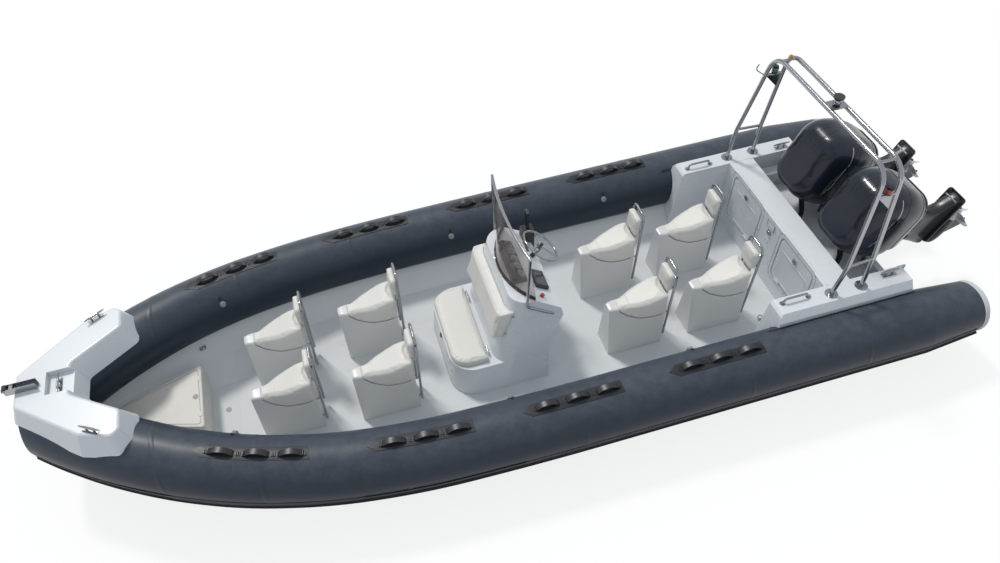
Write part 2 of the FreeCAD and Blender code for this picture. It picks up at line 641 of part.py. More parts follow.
for side in (-1, 1):
    for end in (-1, 1):
        near = (d.hatchCentre + side * d.barrelSpacing / 2
                + end * (d.barrelLength / 2 + d.collarGap + pinLeaf / 2))
        hatchPins.append(block(d.bulkheadX - d.bulkheadThickness / 2, hatchAxisX, near - pinLeaf / 2,
                               near + pinLeaf / 2, d.hatchSill - 3 * d.barrelRadius, d.hatchSill))
        hatchPins.append(block(d.bulkheadX + d.collarGap, hatchAxisX, near - pinLeaf / 2,
                               near + pinLeaf / 2, d.hatchSill - d.barrelRadius, hatchAxisZ))
vent = block(d.bulkheadX, d.bulkheadX + d.ventProud, -d.ventWidth / 2, d.ventWidth / 2,
             d.ventZ - d.ventHeight / 2, d.ventZ + d.ventHeight / 2)
slats = [block(d.bulkheadX + d.ventProud / 2, d.bulkheadX + 2 * d.ventProud, -d.ventWidth * 0.4,
               d.ventWidth * 0.4, d.ventZ + d.slatPitch * (turn - 0.25),
               d.ventZ + d.slatPitch * (turn + 0.25)) for turn in (-1.5, -0.5, 0.5, 1.5)]
inletRing = Part.makeCylinder(d.inletHeight / 2, d.ventProud, Vector(d.bulkheadX, 0, d.inletZ), alongX)
inletBore = Part.makeCylinder(d.inletHeight / 3, d.ventProud, Vector(
    d.bulkheadX + d.ventProud / 2, 0, d.inletZ), alongX)
bulkhead = onDeck(block(bulkheadBack, d.bulkheadX, -sternInner, sternInner, d.floorHeight,
                        d.sideDeckTop))
bulkhead = bulkhead.cut([hatchHole, mirrored(hatchHole)])
mirroredPins = [mirrored(pin) for pin in hatchPins]
bulkhead = bulkhead.multiFuse(hatchPins + mirroredPins + [vent.cut(slats), inletRing.cut(inletBore)])
keep("stern_bulkhead", bulkhead)

band = block(wellFront, bulkheadBack - d.seatGap, -sternInner, sternInner,
             d.sideDeckTop - d.wellSkin, d.sideDeckTop)
wellInner = d.transomX + d.transomThickness + d.seatGap
wellWall = block(wellFront - d.wellSkin, wellFront, -sternInner, sternInner, d.wellFloor,
                 d.sideDeckTop)
wellBack = wellFront - d.wellSkin
wellDeck = block(wellInner, wellBack, -sternInner, sternInner, d.wellFloor,
                 d.wellFloor + d.wellSkin)
wellLedge = block(wellInner, wellBack, sternInner - d.wellLedgeWidth, sternInner,
                  d.wellFloor, d.wellLedge)
well = band.multiFuse([wellWall, wellDeck, wellLedge, mirrored(wellLedge)])
keep("splash_well", well.removeSplitter())

shoulderY = sternInner - d.transomShoulder
shoulderZ = d.sideDeckTop - d.transomShoulder / 4
transomWire = [(0, d.floorHeight), (sternInner, d.floorHeight), (sternInner, d.sideDeckTop),
               (sternInner - d.wellSkin, shoulderZ), (shoulderY + d.wellSkin, d.transomTop),
               (0, d.transomTop)]
transomPoints = [Vector(d.transomX, y, z) for y, z in transomWire[1:5]]
transomPoints += [Vector(d.transomX, -y, z) for y, z in reversed(transomWire[1:5])]
transomBends = [d.seatGap, d.transomBend / 3, d.transomBend, d.transomBend]
transomFace = Part.Face(roundedWire(transomPoints, transomBends + transomBends[::-1]))
transom = onDeck(transomFace.extrude(alongX * d.transomThickness))
keep("transom", transom)

# Jockey seats: one blank, split by the saddle line into pod and cushion
seatPlaces = [(d.seatRowAft, d.seatHalfSpacing), (d.seatRowMid, d.seatHalfSpacing),
              (d.seatRowFore, d.seatHalfSpacing), (d.seatRowBow, d.bowSeatHalfSpacing)]
seatPlaces = [(x, side * y) for x, y in seatPlaces for side in (1, -1)]


def eachSeat(shape):
    copies = []
    for x, y in seatPlaces:
        copy = shape.copy()
        copy.translate(Vector(x, y, d.floorHeight))
        copies.append(copy)
    return copies


# shares of pod length, of nose half width, of pod height, and of base half width
seatShares = ((0, 0.86, 0.985, 0.90), (0.05, 1, 1, 0.97), (0.18, 1.2, 1, 1), (0.36, 1.7, 1.03, 1),
                (0.58, 2.3, 1.09, 1), (0.80, 2.5, 1.16, 1), (1, 2.4, 1.19, 0.98))


def seatRing(station):
    along, nose, rise, base = station
    x, top, low = -d.podLength * along, d.podNoseHalfWidth * nose, d.podBaseHalfWidth * base
    corners = [Vector(x, low, 0), Vector(x, top, d.podHeight * rise),
               Vector(x, -top, d.podHeight * rise), Vector(x, -low, 0)]
    bend = d.podNoseHalfWidth * 0.45
    return roundedWire(corners, [d.seatGap, bend, bend, d.seatGap])


seatBlank = Part.makeLoft([seatRing(share) for share in seatShares], True, False)
saddleShares = ((0.145, 1.2), (0.17, 0.965), (0.30, 0.86), (0.55, 0.785), (0.80, 0.775), (1.2, 0.79))


def saddle(drop):
    """Everything above the saddle line, lowered by drop."""
    line = [(-d.podLength * x, d.podHeight * z - drop) for x, z in saddleShares]
    far = 2 * d.podHeight
    return sideProfile(line + [(line[-1][0], far), (line[0][0], far)], -far, far)


pod = seatBlank.cut(saddle(d.seatGap))
keep("seat_pods", compound(onDeck(copy) for copy in eachSeat(pod)))
cushion = seatBlank.common(saddle(0))
keep("seat_cushions", compound(eachSeat(cushion)))


def frameX(z):
    share = (z - d.backFootZ) / (d.backTop - d.backFootZ)
    return d.backFootX + (d.backTopX - d.backFootX) * share


frameLine = [Vector(d.backFootX, d.backHalfWidth, d.backFootZ),
             Vector(d.backTopX, d.backHalfWidth, d.backTop)]
frameLine += [Vector(point.x, -point.y, point.z) for point in reversed(frameLine)]
backFrame = roundTube(frameLine, d.tubeRadius, 5 * d.tubeRadius)
struts = []
for z in (d.strutLow, d.strutHigh):
    for side in (-1, 1):
        y = side * d.backHalfWidth
        wall = Vector(-d.podLength - d.seatGap, y, z)
        struts.append(rod(Vector(frameX(z), y, z), wall, d.strutRadius))
for z in (d.padLow + d.padCorner, d.padTop - d.padCorner):
    struts.append(rod(Vector(frameX(z), -d.backHalfWidth, z), Vector(frameX(z), d.backHalfWidth, z),
                      d.strutRadius))
keep("seat_frames", compound(eachSeat(backFrame.multiFuse(struts))))


def backPanel(low, top, half, corner, thickness):
    """Rounded panel that stands on the crossbars of the seat frame."""
    front = d.strutRadius + d.seatGap
    side = sideProfile([(frameX(low) + front, low), (frameX(low) + front + thickness, low),
                        (frameX(top) + front + thickness, top), (frameX(top) + front, top)],
                       -half, half)
    corners = [Vector(2 * d.backTopX, y, z) for y, z in ((-half, low), (half, low), (half, top),
                                                        (-half, top))]
    face = Part.Face(roundedWire(corners, [corner] * 4))
    return side.common(face.extrude(alongX * 2 * d.podLength))


backPad = backPanel(d.padLow, d.padTop, d.padHalfWidth, d.padCorner, d.padThickness)
neck = backPanel(d.padNeckLow, d.padLow + d.padCorner, d.padNeckHalfWidth, d.padCorner / 2,
                 d.padNeckThickness)
backRest = backPad.fuse(neck)
keep("seat_backrests", compound(eachSeat(backRest)))


# Console: seat box in front, tower with dash and wheel behind
def consoleRing(z, rear, front, half, corner):
    corners = [Vector(x, y, z) for x, y in ((rear, -half), (front, -half), (front, half),
                                            (rear, half))]
    return roundedWire(corners, [d.wellSkin, corner, corner, d.wellSkin])


def consoleLoft(lowRing, topRing):
    return Part.makeLoft([consoleRing(*lowRing), consoleRing(*topRing)], True, True)


def towerLoft(grown):
    """Tower outside, larger in front and at the sides by grown."""
    frontFall = (d.towerFrontLow - d.towerFrontTop) / (d.dashTop - d.boxTop)
    frontBase = d.towerFrontLow + frontFall * (d.boxTop - d.floorHeight) + grown
    rear = 2 * d.consoleLip
    return consoleLoft((d.floorHeight, rear, frontBase, d.consoleBaseHalf + grown, d.towerCorner),
                       (d.dashTop, rear, d.towerFrontTop + grown, d.consoleTopHalf + grown,
                        d.towerCorner))


towerSide = sideProfile([(d.consoleRear, d.floorHeight), (d.consoleWaist, d.consoleWaistZ),
                         (d.consoleLip, d.consoleLipZ), (d.consoleBrowX, d.consoleBrowZ),
                         (d.dashFront, d.dashTop), (d.boxFront, d.dashTop),
                         (d.boxFront, d.floorHeight)], -2 * d.boxHalfLow, 2 * d.boxHalfLow)
tower = towerLoft(0).common(towerSide)
seatBox = consoleLoft((d.floorHeight, d.consoleRear, d.boxFront, d.consoleBaseHalf, d.boxCorner),
                      (d.boxTop, d.consoleRear, d.boxFrontTop, d.boxHalfTop, d.boxCorner))
cavity = consoleLoft((d.boxFloor, d.lidRear, d.lidFront - d.boxWall, d.lidHalf - d.boxWall, d.lidCorner),
                     (d.dashTop, d.lidRear, d.lidFront - d.boxWall, d.lidHalf - d.boxWall, d.lidCorner))
cavity = cavity.cut(towerLoft(0))
lidLow = d.boxTop + d.shutGap
lidTop = d.boxTop + d.lidThickness
lidAxisX = d.lidRear - d.lidBarrelRadius
lidAxisZ = lidTop - d.lidBarrelRadius
lidBarrels, lidPins = hingeRow(lidAxisX, lidAxisZ, 0, d.lidBarrelSpacing, d.lidBarrelRadius,
                               d.lidBarrelLength)
lid = consoleLoft((lidLow, d.lidRear, d.lidFront, d.lidHalf, d.lidCorner),
                  (lidTop, d.lidRear, d.lidFront, d.lidHalf, d.lidCorner))
lidEdge = [edge for edge in lid.Edges if edge.BoundBox.ZMin > lidTop - d.seatGap]
lid = lid.makeFillet(d.lidBarrelRadius, lidEdge)
lidBore = rod(Vector(lidAxisX, -d.lidHalf, lidAxisZ), Vector(lidAxisX, d.lidHalf, lidAxisZ),
              d.lidBarrelRadius / 2 + d.runningGap)
lidLeaves = []
for side in (-1, 1):
    middle, half = side * d.lidBarrelSpacing / 2, d.lidBarrelLength / 2
    lidLeaves.append(block(lidAxisX, d.lidRear + 2 * d.lidBarrelRadius, middle - half, middle + half,
                           lidAxisZ - d.lidBarrelRadius, lidAxisZ))
keep("console_seat_lid", lid.multiFuse(lidBarrels + lidLeaves).cut(lidBore))
knuckle = 2 * d.lidBarrelRadius - d.collarGap
for side in (-1, 1):
    for end in (-1, 1):
        near = (side * d.lidBarrelSpacing / 2
                + end * (d.lidBarrelLength / 2 + d.collarGap + knuckle / 2))
        lidPins.append(block(lidAxisX - d.lidBarrelRadius, lidAxisX, near - knuckle / 2,
                             near + knuckle / 2, d.boxTop - d.lidBarrelRadius, lidAxisZ))
console = onDeck(tower.fuse(seatBox.cut(cavity)))
keep("console", console.multiFuse(lidPins))

bolsterRoom = block(d.dashFront, d.lidFront, -d.bolsterHalf, d.bolsterHalf, d.bolsterLow,
                    d.bolsterTop)
bolster = towerLoft(d.bolsterThickness).common(bolsterRoom).cut(towerLoft(d.seatGap))
keep("console_bolster", bolster)

# Windscreen: a curved sheet that leans from the tower top to its rail
topX = d.screenRailX + d.screenRailBulge
topRailPoints = [Vector(d.screenRailX, d.screenRailHalf, d.screenRailZ),
                 Vector(topX, 0, d.screenRailZ), Vector(d.screenRailX, -d.screenRailHalf, d.screenRailZ)]
screenLowX = d.towerFrontTop - d.screenInset
screenLowHalf = d.consoleTopHalf - d.screenInset


def screenWire(z, front, sag, half, skin):
    """Closed band at height z: the outer curve and the same curve moved inwards by skin."""
    outer = Part.Arc(Vector(front - sag, half, z), Vector(front, 0, z), Vector(front - sag, -half, z))
    inner = Part.Arc(Vector(front - sag, skin - half, z), Vector(front - skin, 0, z),
                     Vector(front - sag, half - skin, z))
    ends = [Part.LineSegment(Vector(front - sag, -half, z), Vector(front - sag, skin - half, z)),
            Part.LineSegment(Vector(front - sag, half - skin, z), Vector(front - sag, half, z))]
    return Part.Wire([curve.toShape() for curve in (outer, ends[0], inner, ends[1])])


screenFoot = d.dashTop + d.seatGap
screenHead = d.screenRailZ - d.screenRailRadius - d.seatGap
screen = Part.makeLoft([
    screenWire(screenFoot, screenLowX, d.screenSag, screenLowHalf, d.screenThickness),
    screenWire(screenHead, topX, d.screenRailBulge, d.screenRailHalf - d.screenInset / 2,
               d.screenThickness)], True, True)
keep("windscreen", screen)
sealProud = (d.sealThickness - d.screenThickness) / 2
sealBand = Part.makeLoft([
    screenWire(z, screenLowX + sealProud, d.screenSag, screenLowHalf + sealProud,
               d.sealThickness) for z in (screenFoot, d.dashTop + d.sealHeight)], True, True)
screenSlot = Part.makeLoft([
    screenWire(screenFoot, screenLowX + d.seatGap, d.screenSag, screenLowHalf + d.seatGap,
               d.screenThickness + 2 * d.seatGap),
    screenWire(screenHead, topX + d.seatGap, d.screenRailBulge,
               d.screenRailHalf - d.screenInset / 2 + d.seatGap,
               d.screenThickness + 2 * d.seatGap)], True, True)
keep("screen_seal", sealBand.cut(screenSlot))

topRail = Part.Wire([Part.Arc(*topRailPoints).toShape()]).makePipeShell(
    [Part.Wire(Part.makeCircle(d.screenRailRadius, topRailPoints[0],
                               topRailPoints[1] - topRailPoints[0]))], True, True)
kneeY = d.consoleTopHalf + d.screenRailRadius
footY = kneeY + d.screenRailRadius / 2
sideLine = [topRailPoints[0], Vector(d.screenKneeX, kneeY, d.screenKneeZ),
            Vector(d.screenFootX, footY, d.screenFootZ)]
sideRail = roundTube(sideLine, d.screenRailRadius, 4 * d.screenRailRadius)
railFoot = sideLine[-1]
footStub = rod(railFoot, railFoot - alongY * 3 * d.screenRailRadius, d.screenRailRadius)
kneeStub = rod(sideLine[1], sideLine[1] - alongY * 3 * d.screenRailRadius, d.screenRailRadius / 2)
kneeBall = Part.makeSphere(d.screenRailRadius, topRailPoints[0])
towerSkin = towerLoft(d.seatGap)
sideRail = sideRail.multiFuse([footStub, kneeStub, kneeBall]).cut(towerSkin)
keep("screen_rail", topRail.fuse(sideRail).fuse(mirrored(sideRail)).cut(screen))


def steeringWheel():
    """Stainless wheel as a body: revolved rim, spokes, hub, spinner knob and bore."""
    body, planes = newBody("steering_wheel")
    ring = body.newObject("PartDesign::Revolution", "rim")
    rimSketch = newSketch(body, planes["XZ_Plane"], "rimSection",
                          [circle(d.wheelRimRadius, d.wheelRadius)])
    ring.Profile = rimSketch
    ring.ReferenceAxis = (rimSketch, ["V_Axis"])
    ring.Angle = whole
    boss = body.newObject("PartDesign::Pad", "boss")
    boss.Profile = newSketch(body, planes["XY_Plane"], "hubSection", [circle(d.hubRadius)])
    boss.setExpression("Length", "Sizes.hubLength")
    boss.Midplane = True
    arm = body.newObject("PartDesign::Pad", "spoke")
    arm.Profile = newSketch(body, planes["XZ_Plane"], "spokeSection",
                            [circle(d.wheelRimRadius * 0.65)])
    arm.setExpression("Length", "Sizes.wheelRadius")
    spread = body.newObject("PartDesign::PolarPattern", "spokes")
    spread.Originals = [arm]
    spread.Axis = (planes["Z_Axis"], [""])
    spread.Angle = whole
    spread.Occurrences = 3
    body.Tip = spread
    knob = body.newObject("PartDesign::Pad", "spinner")
    knob.Profile = newSketch(body, planes["XY_Plane"], "spinnerSection",
                             [circle(d.knobRadius, d.wheelRadius * 0.7, d.wheelRadius * 0.7)])
    knob.setExpression("Length", "Sizes.knobRise")
    bore = body.newObject("PartDesign::Pocket", "shaftBore")
    bore.Profile = newSketch(body, planes["XY_Plane"], "boreSection",
                             [circle(d.columnRadius / 2 + d.runningGap)])
    bore.setExpression("Length", "2 * Sizes.hubLength")
    bore.Midplane = True
    body.Tip = bore
    return body


wheelTurn = FreeCAD.Rotation(alongY, d.wheelTilt - 90)
wheelCentre = Vector(d.wheelX, d.wheelY, d.wheelZ)
wheelBody = steeringWheel()
wheelBody.Placement = FreeCAD.Placement(wheelCentre, wheelTurn)
pieces.append(wheelBody)
wheelAxis = wheelTurn.multVec(alongZ)
columnTop = wheelCentre - wheelAxis * (d.hubLength / 2 + d.collarGap)
column = rod(columnTop - wheelAxis * d.wheelRadius, columnTop, d.columnRadius)
shaft = rod(columnTop, wheelCentre + wheelAxis * (d.hubLength / 2 + d.knobRadius / 2),
            d.columnRadius / 2)
nut = rod(wheelCentre + wheelAxis * (d.hubLength / 2 + d.collarGap),
          wheelCentre + wheelAxis * (d.hubLength / 2 + d.knobRadius / 2), d.knobRadius)
grown = tower.copy()
grown.translate(wheelAxis * d.seatGap)
keep("steering_column", column.multiFuse([shaft, nut]).cut(tower.fuse(grown)))

# Helm: instruments on a low pod behind the screen, a display and twin engine levers
podHalf = d.helmPodHalf
helmPod = sideProfile([(d.dashFront, d.dashTop), (d.dashFront, d.dashTop + d.helmPodHeight / 2),
                       (d.dashFront + d.helmPodHeight, d.dashTop + d.helmPodHeight),
                       (d.helmPodFront, d.dashTop + d.helmPodHeight * 0.8),
                       (d.helmPodFront, d.dashTop)], -podHalf, podHalf)
helmPod.translate(alongZ * d.seatGap)
dashAway = Vector(d.dashTop - d.consoleBrowZ, 0, d.consoleBrowX - d.dashFront).normalize() * -1
dashMiddle = Vector((d.dashFront + d.consoleBrowX) / 2, 0, (d.dashTop + d.consoleBrowZ) / 2)
podAway = Vector(-1, 0, 2).normalize()
gauges = []
for y in (d.gaugePitch, 2 * d.gaugePitch, -d.gaugePitch, 0, -2 * d.gaugePitch):
    face = Vector(d.dashFront + d.helmPodHeight / 2, y, d.dashTop + d.helmPodHeight * 0.75)
    gauges.append(Part.makeCylinder(d.gaugeRadius, d.gaugeProud * 2, face - podAway * d.gaugeProud,
                                    podAway))
slabTurn = FreeCAD.Rotation(alongZ, dashAway)
display = Part.makeBox(d.screenUnitHeight, d.screenUnitWidth, d.screenUnitThickness,
                       Vector(-d.screenUnitHeight / 2, -d.screenUnitWidth / 2, d.seatGap))
display.Placement = FreeCAD.Placement(dashMiddle + alongY * d.displayY, slabTurn)
keep("helm_instruments", compound([helmPod.multiFuse(gauges), display]))

controlBox = block(d.controlX - d.controlLength / 2, d.controlX + d.controlLength / 2,
                   d.controlY - d.controlWidth / 2, d.controlY + d.controlWidth / 2,
                   d.consoleBrowZ - d.controlHeight, d.controlTop)
controlBox = controlBox.makeFillet(d.leverThickness / 2, [
    edge for edge in controlBox.Edges if edge.BoundBox.ZMin > d.controlTop - d.seatGap])
levers = []
for side in (-1, 1):
    middle = d.controlY + side * d.leverWidth / 2
    stem = block(d.controlX - d.leverThickness, d.controlX + d.leverThickness / 2,
                 middle - d.leverThickness / 3, middle + d.leverThickness / 3,
                 d.controlTop - d.leverThickness, d.controlTop + d.leverRise)
    gripMiddle = Vector(d.controlX - d.leverThickness / 4, middle, d.controlTop + d.leverRise)
    grip = rod(gripMiddle - alongY * d.leverWidth / 2, gripMiddle + alongY * d.leverWidth / 2,
               d.leverThickness)
    levers += [stem, grip]
controls = controlBox.multiFuse(levers)
keep("helm_controls", controls.cut(tower.fuse(grown)))

# Arch over the stern: two bent hoops joined by short bars, plates and lamps
archFootZ = d.sideDeckTop + d.seatGap
foreLine = [Vector(d.archForeX, d.archFootY, archFootZ),
            Vector(d.archKneeForeX, d.archKneeForeY, d.archKneeZ),
            Vector(d.archForeTopX, d.archTopY, d.archTop)]
aftLine = [Vector(d.archAftX, d.archFootY, archFootZ), Vector(d.archAftX, d.archKneeAftY, d.archKneeZ),
           Vector(d.archAftTopX, d.archTopY, d.archTop)]
belowArch = block(2 * d.archAftX, 0, -2 * d.archFootY, 2 * d.archFootY, 0, archFootZ)


def archHoop(line):
    points = line + [Vector(point.x, -point.y, point.z) for point in reversed(line)]
    return roundTube(points, d.archTubeRadius, d.archBend).cut(belowArch)


def alongLine(line, z):
    """Point at height z on the upper run of a hoop."""
    knee, top = line[1], line[2]
    return knee + (top - knee) * ((z - knee.z) / (top.z - knee.z))


archPieces = [archHoop(foreLine), archHoop(aftLine)]
for z in (d.archKneeZ, d.archBarZ):
    archPieces.append(rod(alongLine(foreLine, z), alongLine(aftLine, z), d.archBarRadius))
plateCorners = [alongLine(foreLine, d.archBarZ), alongLine(aftLine, d.archBarZ),
                alongLine(aftLine, d.archBarZ - d.navPlateDrop)]
archPieces.append(prism(plateCorners, alongY * -d.archPlateThickness))
archPieces += [mirrored(piece) for piece in archPieces[2:]]
for y in (d.archTopBarY, -d.archTopBarY):
    archPieces.append(rod(Vector(d.archForeTopX, y, d.archTop), Vector(d.archAftTopX, y, d.archTop),
                          d.archBarRadius))
archPieces.append(block(d.archAftTopX, d.archForeTopX, -d.mastPlateWidth / 2, d.mastPlateWidth / 2,
                        d.archTop + d.archTubeRadius - d.archPlateThickness,
                        d.archTop + d.archTubeRadius))
for x in (d.archForeX, d.archAftX):
    for y in (d.archFootY, -d.archFootY):
        archPieces.append(rod(Vector(x, y, archFootZ), Vector(x, y, archFootZ + d.flangeThickness),
                              d.archFlangeRadius))
keep("arch", archPieces[0].multiFuse(archPieces[1:]))

lampTop = d.archTop + d.archTubeRadius + d.seatGap
mastX = (d.archForeTopX + d.archAftTopX) / 2
mastBase = Vector(mastX, 0, lampTop)
mast = rod(mastBase, mastBase + alongZ * d.mastLightHeight, d.mastLightRadius)
mastCap = rod(mastBase + alongZ * d.mastLightHeight,
              mastBase + alongZ * (d.mastLightHeight + d.archBarRadius), d.mastCapRadius)
lamps = [mast.fuse(mastCap)]
for side in (-1, 1):
    bar = (alongLine(foreLine, d.archBarZ) + alongLine(aftLine, d.archBarZ)) * 0.5
    foot = Vector(bar.x, side * bar.y, bar.z + d.archBarRadius + d.seatGap)
    lamp = rod(foot, foot + alongZ * d.navLampHeight, d.navLampRadius)
    lamps.append(lamp.fuse(rod(foot + alongZ * d.navLampHeight,
                               foot + alongZ * (d.navLampHeight + d.archBarRadius),
                               d.navLampRadius * 0.8)))
keep("arch_lamps", compound(lamps))


# Engines are drawn running, with the tilt axis at the origin, and then tilted up
def ovalRing(z, middle, length, width, cornerShare=0.42):
    """Closed rounded ring at height z, length along X and width along Y."""
    corner = cornerShare * min(length, width)
    x0, x1, y1 = middle - length / 2, middle + length / 2, width / 2
    corners = [Vector(x1, -y1, z), Vector(x1, y1, z), Vector(x0, y1, z), Vector(x0, -y1, z)]
    return roundedWire(corners, [corner] * 4)


# shares of cowl height, of its length, of its width, and of its length moved forward
cowlShares = ((0, 0.88, 0.83, 0.01), (0.16, 0.945, 0.93, 0.005), (0.42, 1, 1, 0), (0.68, 0.97, 0.965, 0),
              (0.86, 0.88, 0.85, 0.005), (0.95, 0.76, 0.71, 0.01), (1, 0.60, 0.54, 0.015))
cowlCornerShare, plateCornerShare = 0.34, 0.14
clampInner = d.clampY - d.clampThickness / 2
clampOuter = d.clampY + d.clampThickness / 2
clampHead = clampOuter + d.lugThickness / 2


def cowlRing(level, z):
    _, length, width, shift = level
    return ovalRing(z, d.cowlLength * shift - d.cowlMiddle, d.cowlLength * length,
                    d.cowlWidth * width, cowlCornerShare)


def atFullLock(x, y):
    """Plan point of the bracket, given from the kingpin, as the engine meets it at full lock."""
    lock = math.radians(d.steerLock)
    return (x * math.cos(lock) - y * math.sin(lock) - d.steerOffset - d.runningRoom,
            x * math.sin(lock) + y * math.cos(lock) + d.runningRoom)


def engineRoom(low, high, rear):
    """Room for the bracket from lock to lock, as far aft as rear behind the kingpin."""
    plateX, plateY = atFullLock(d.steerOffset - d.clampReach, clampOuter)
    headX, headY = atFullLock(d.steerOffset - d.tiltTubeRadius, clampHead)
    outline = [(-d.steerOffset - rear, d.roomHalf), (plateX, d.roomHalf), (plateX, plateY),
               (headX, headY), (headX, d.cowlWidth), (d.cowlLength, d.cowlWidth)]
    return planProfile(mirrorPoints(outline), low, high)


yokeTop = d.cowlRoom - d.shutGap
yokeLow = yokeTop - d.lugThickness
cowlSlot = [(-0.56, 0.50), (-0.33, 0.58), (-0.10, 0.60), (-0.10, 0.66), (-0.34, 0.66), (-0.60, 0.57)]


def engineCowl():
    rings = [cowlRing(level, d.cowlHeight * level[0] - d.cowlBase) for level in cowlShares]
    cowl = Part.makeLoft(rings, True, False)
    slot = [(d.cowlLength * x, d.cowlHeight * z) for x, z in cowlSlot]
    side = d.cowlWidth / 2
    groove = sideProfile(slot, side - d.slotDepth, 2 * side)
    notch = engineRoom(-d.cowlHeight, d.cowlRoom, d.roomRear)
    return cowl.cut([groove, mirrored(groove), notch])


# height below the tilt axis, and the fore and aft edges and half width there
legShares = ((0.50, -0.13, -0.66, 0.115), (0.62, -0.115, -0.665, 0.095), (0.76, -0.10, -0.70, 0.085),
             (0.90, -0.075, -0.86, 0.075), (1, -0.065, -0.99, 0.09))


def engineLeg():
    """Midsection, plate, gearcase and skeg with the kingpin that the bracket carries."""
    apronTop = -d.cowlBase - d.seatGap
    apronShares = ((0, 0.88, 0.83), (0.35, 0.77, 0.69), (0.75, 0.52, 0.42), (1, 0.40, 0.26))
    apron = Part.makeLoft([ovalRing(apronTop - d.apronDepth * drop, -d.cowlMiddle,
                                    d.cowlLength * length, d.cowlWidth * width, cowlCornerShare)
                           for drop, length, width in apronShares], True, False)
    rings = []
    for drop, fore, aft, half in legShares:
        fore, aft = d.plateDrop * fore * 0.75, d.plateDrop * aft
        rings.append(ovalRing(-d.plateDrop * drop, (fore + aft) / 2, fore - aft,
                              2 * d.plateDrop * half * 1.3))
    leg = Part.makeLoft(rings, True, False)
    joint = Part.makeLoft([ovalRing(apronTop - d.apronDepth * 0.8, -d.cowlMiddle,
                                    d.cowlLength * 0.44, d.cowlWidth * 0.32), rings[0]], True, True)
    plateFront = d.plateLength - d.plateTail
    plateRing = ovalRing(-d.plateDrop, plateFront - d.plateLength / 2, d.plateLength, d.plateWidth,
                         plateCornerShare)
    plate = Part.Face(plateRing).extrude(alongZ * -d.plateThickness)
    gearZ = -d.plateDrop - d.propAxisDrop
    nose = Vector(-d.gearcaseNose, 0, gearZ)
    tail = Vector(-d.gearcaseTail, 0, gearZ)
    strutLength = d.gearcaseTail - d.gearcaseNose - d.gearcaseCone / 2
    strutMiddle = -(d.gearcaseNose + d.gearcaseTail + d.gearcaseCone / 4) / 2
    strut = Part.makeLoft([ovalRing(-d.plateDrop, strutMiddle, strutLength * 1.1, d.legHalfWidth * 1.2),
                           ovalRing(gearZ, strutMiddle, strutLength, d.legHalfWidth)], True, True)
    curve = Part.BSplineCurve()
    curve.interpolate([nose, nose + Vector(-d.gearcaseCone * 0.12, 0, d.gearcaseRadius * 0.45),
                       nose + Vector(-d.gearcaseCone * 0.45, 0, d.gearcaseRadius * 0.82),
                       nose + Vector(-d.gearcaseCone, 0, d.gearcaseRadius),
                       tail + Vector(d.gearcaseCone / 2, 0, d.gearcaseRadius),
                       tail + Vector(0, 0, d.hubRearRadius)])
    outline = [curve.toShape(), Part.LineSegment(tail + Vector(0, 0, d.hubRearRadius), tail).toShape(),
               Part.LineSegment(tail, nose).toShape()]
    bullet = Part.Face(Part.Wire(outline)).revolve(nose, alongX, whole)
    skegLow = gearZ - d.gearcaseRadius - d.skegDrop
    skegTop = gearZ - d.gearcaseRadius / 2
    skeg = sideProfile([(-d.gearcaseNose - d.gearcaseCone * 0.4, skegTop),
                        (-d.gearcaseTail + d.gearcaseCone * 0.45, skegLow),
                        (-d.gearcaseTail - d.skegThickness, skegLow),
                        (-d.gearcaseTail + d.skegThickness, skegTop)],
                       -d.skegThickness / 2, d.skegThickness / 2)
    drive = rod(tail + alongX * d.gearcaseCone / 4,
                tail - alongX * (d.propHubLength + d.shaftRadius), d.shaftRadius)
    driveNut = rod(tail - alongX * (d.propHubLength + 2 * d.collarGap),
                   tail - alongX * (d.propHubLength + d.shaftRadius + 2 * d.collarGap), d.shaftRadius * 1.8)
    kingpinTop = Vector(-d.steerOffset, 0, yokeTop)
    kingpinFoot = Vector(-d.steerOffset, 0, -d.housingBottom - d.lugThickness)
    room = engineRoom(-d.housingBottom - d.runningRoom, d.cowlHeight, d.bracketRoom)
    body = apron.multiFuse([leg, joint]).cut(room)
    postRear = d.steerOffset + d.roomRear - d.shutGap
    post = block(-postRear, -d.steerOffset - d.bracketRoom, -d.legHalfWidth / 2, d.legHalfWidth / 2,
                 -d.apronDepth, yokeTop)
    yoke = block(-postRear, -d.steerOffset + d.housingRadius, -d.legHalfWidth / 2, d.legHalfWidth / 2,
                 yokeLow, yokeTop)
    extras = [plate, strut, bullet, skeg, drive, driveNut, rod(kingpinFoot, kingpinTop, d.kingpinRadius),
              post, yoke]
    return body.multiFuse(extras), tail


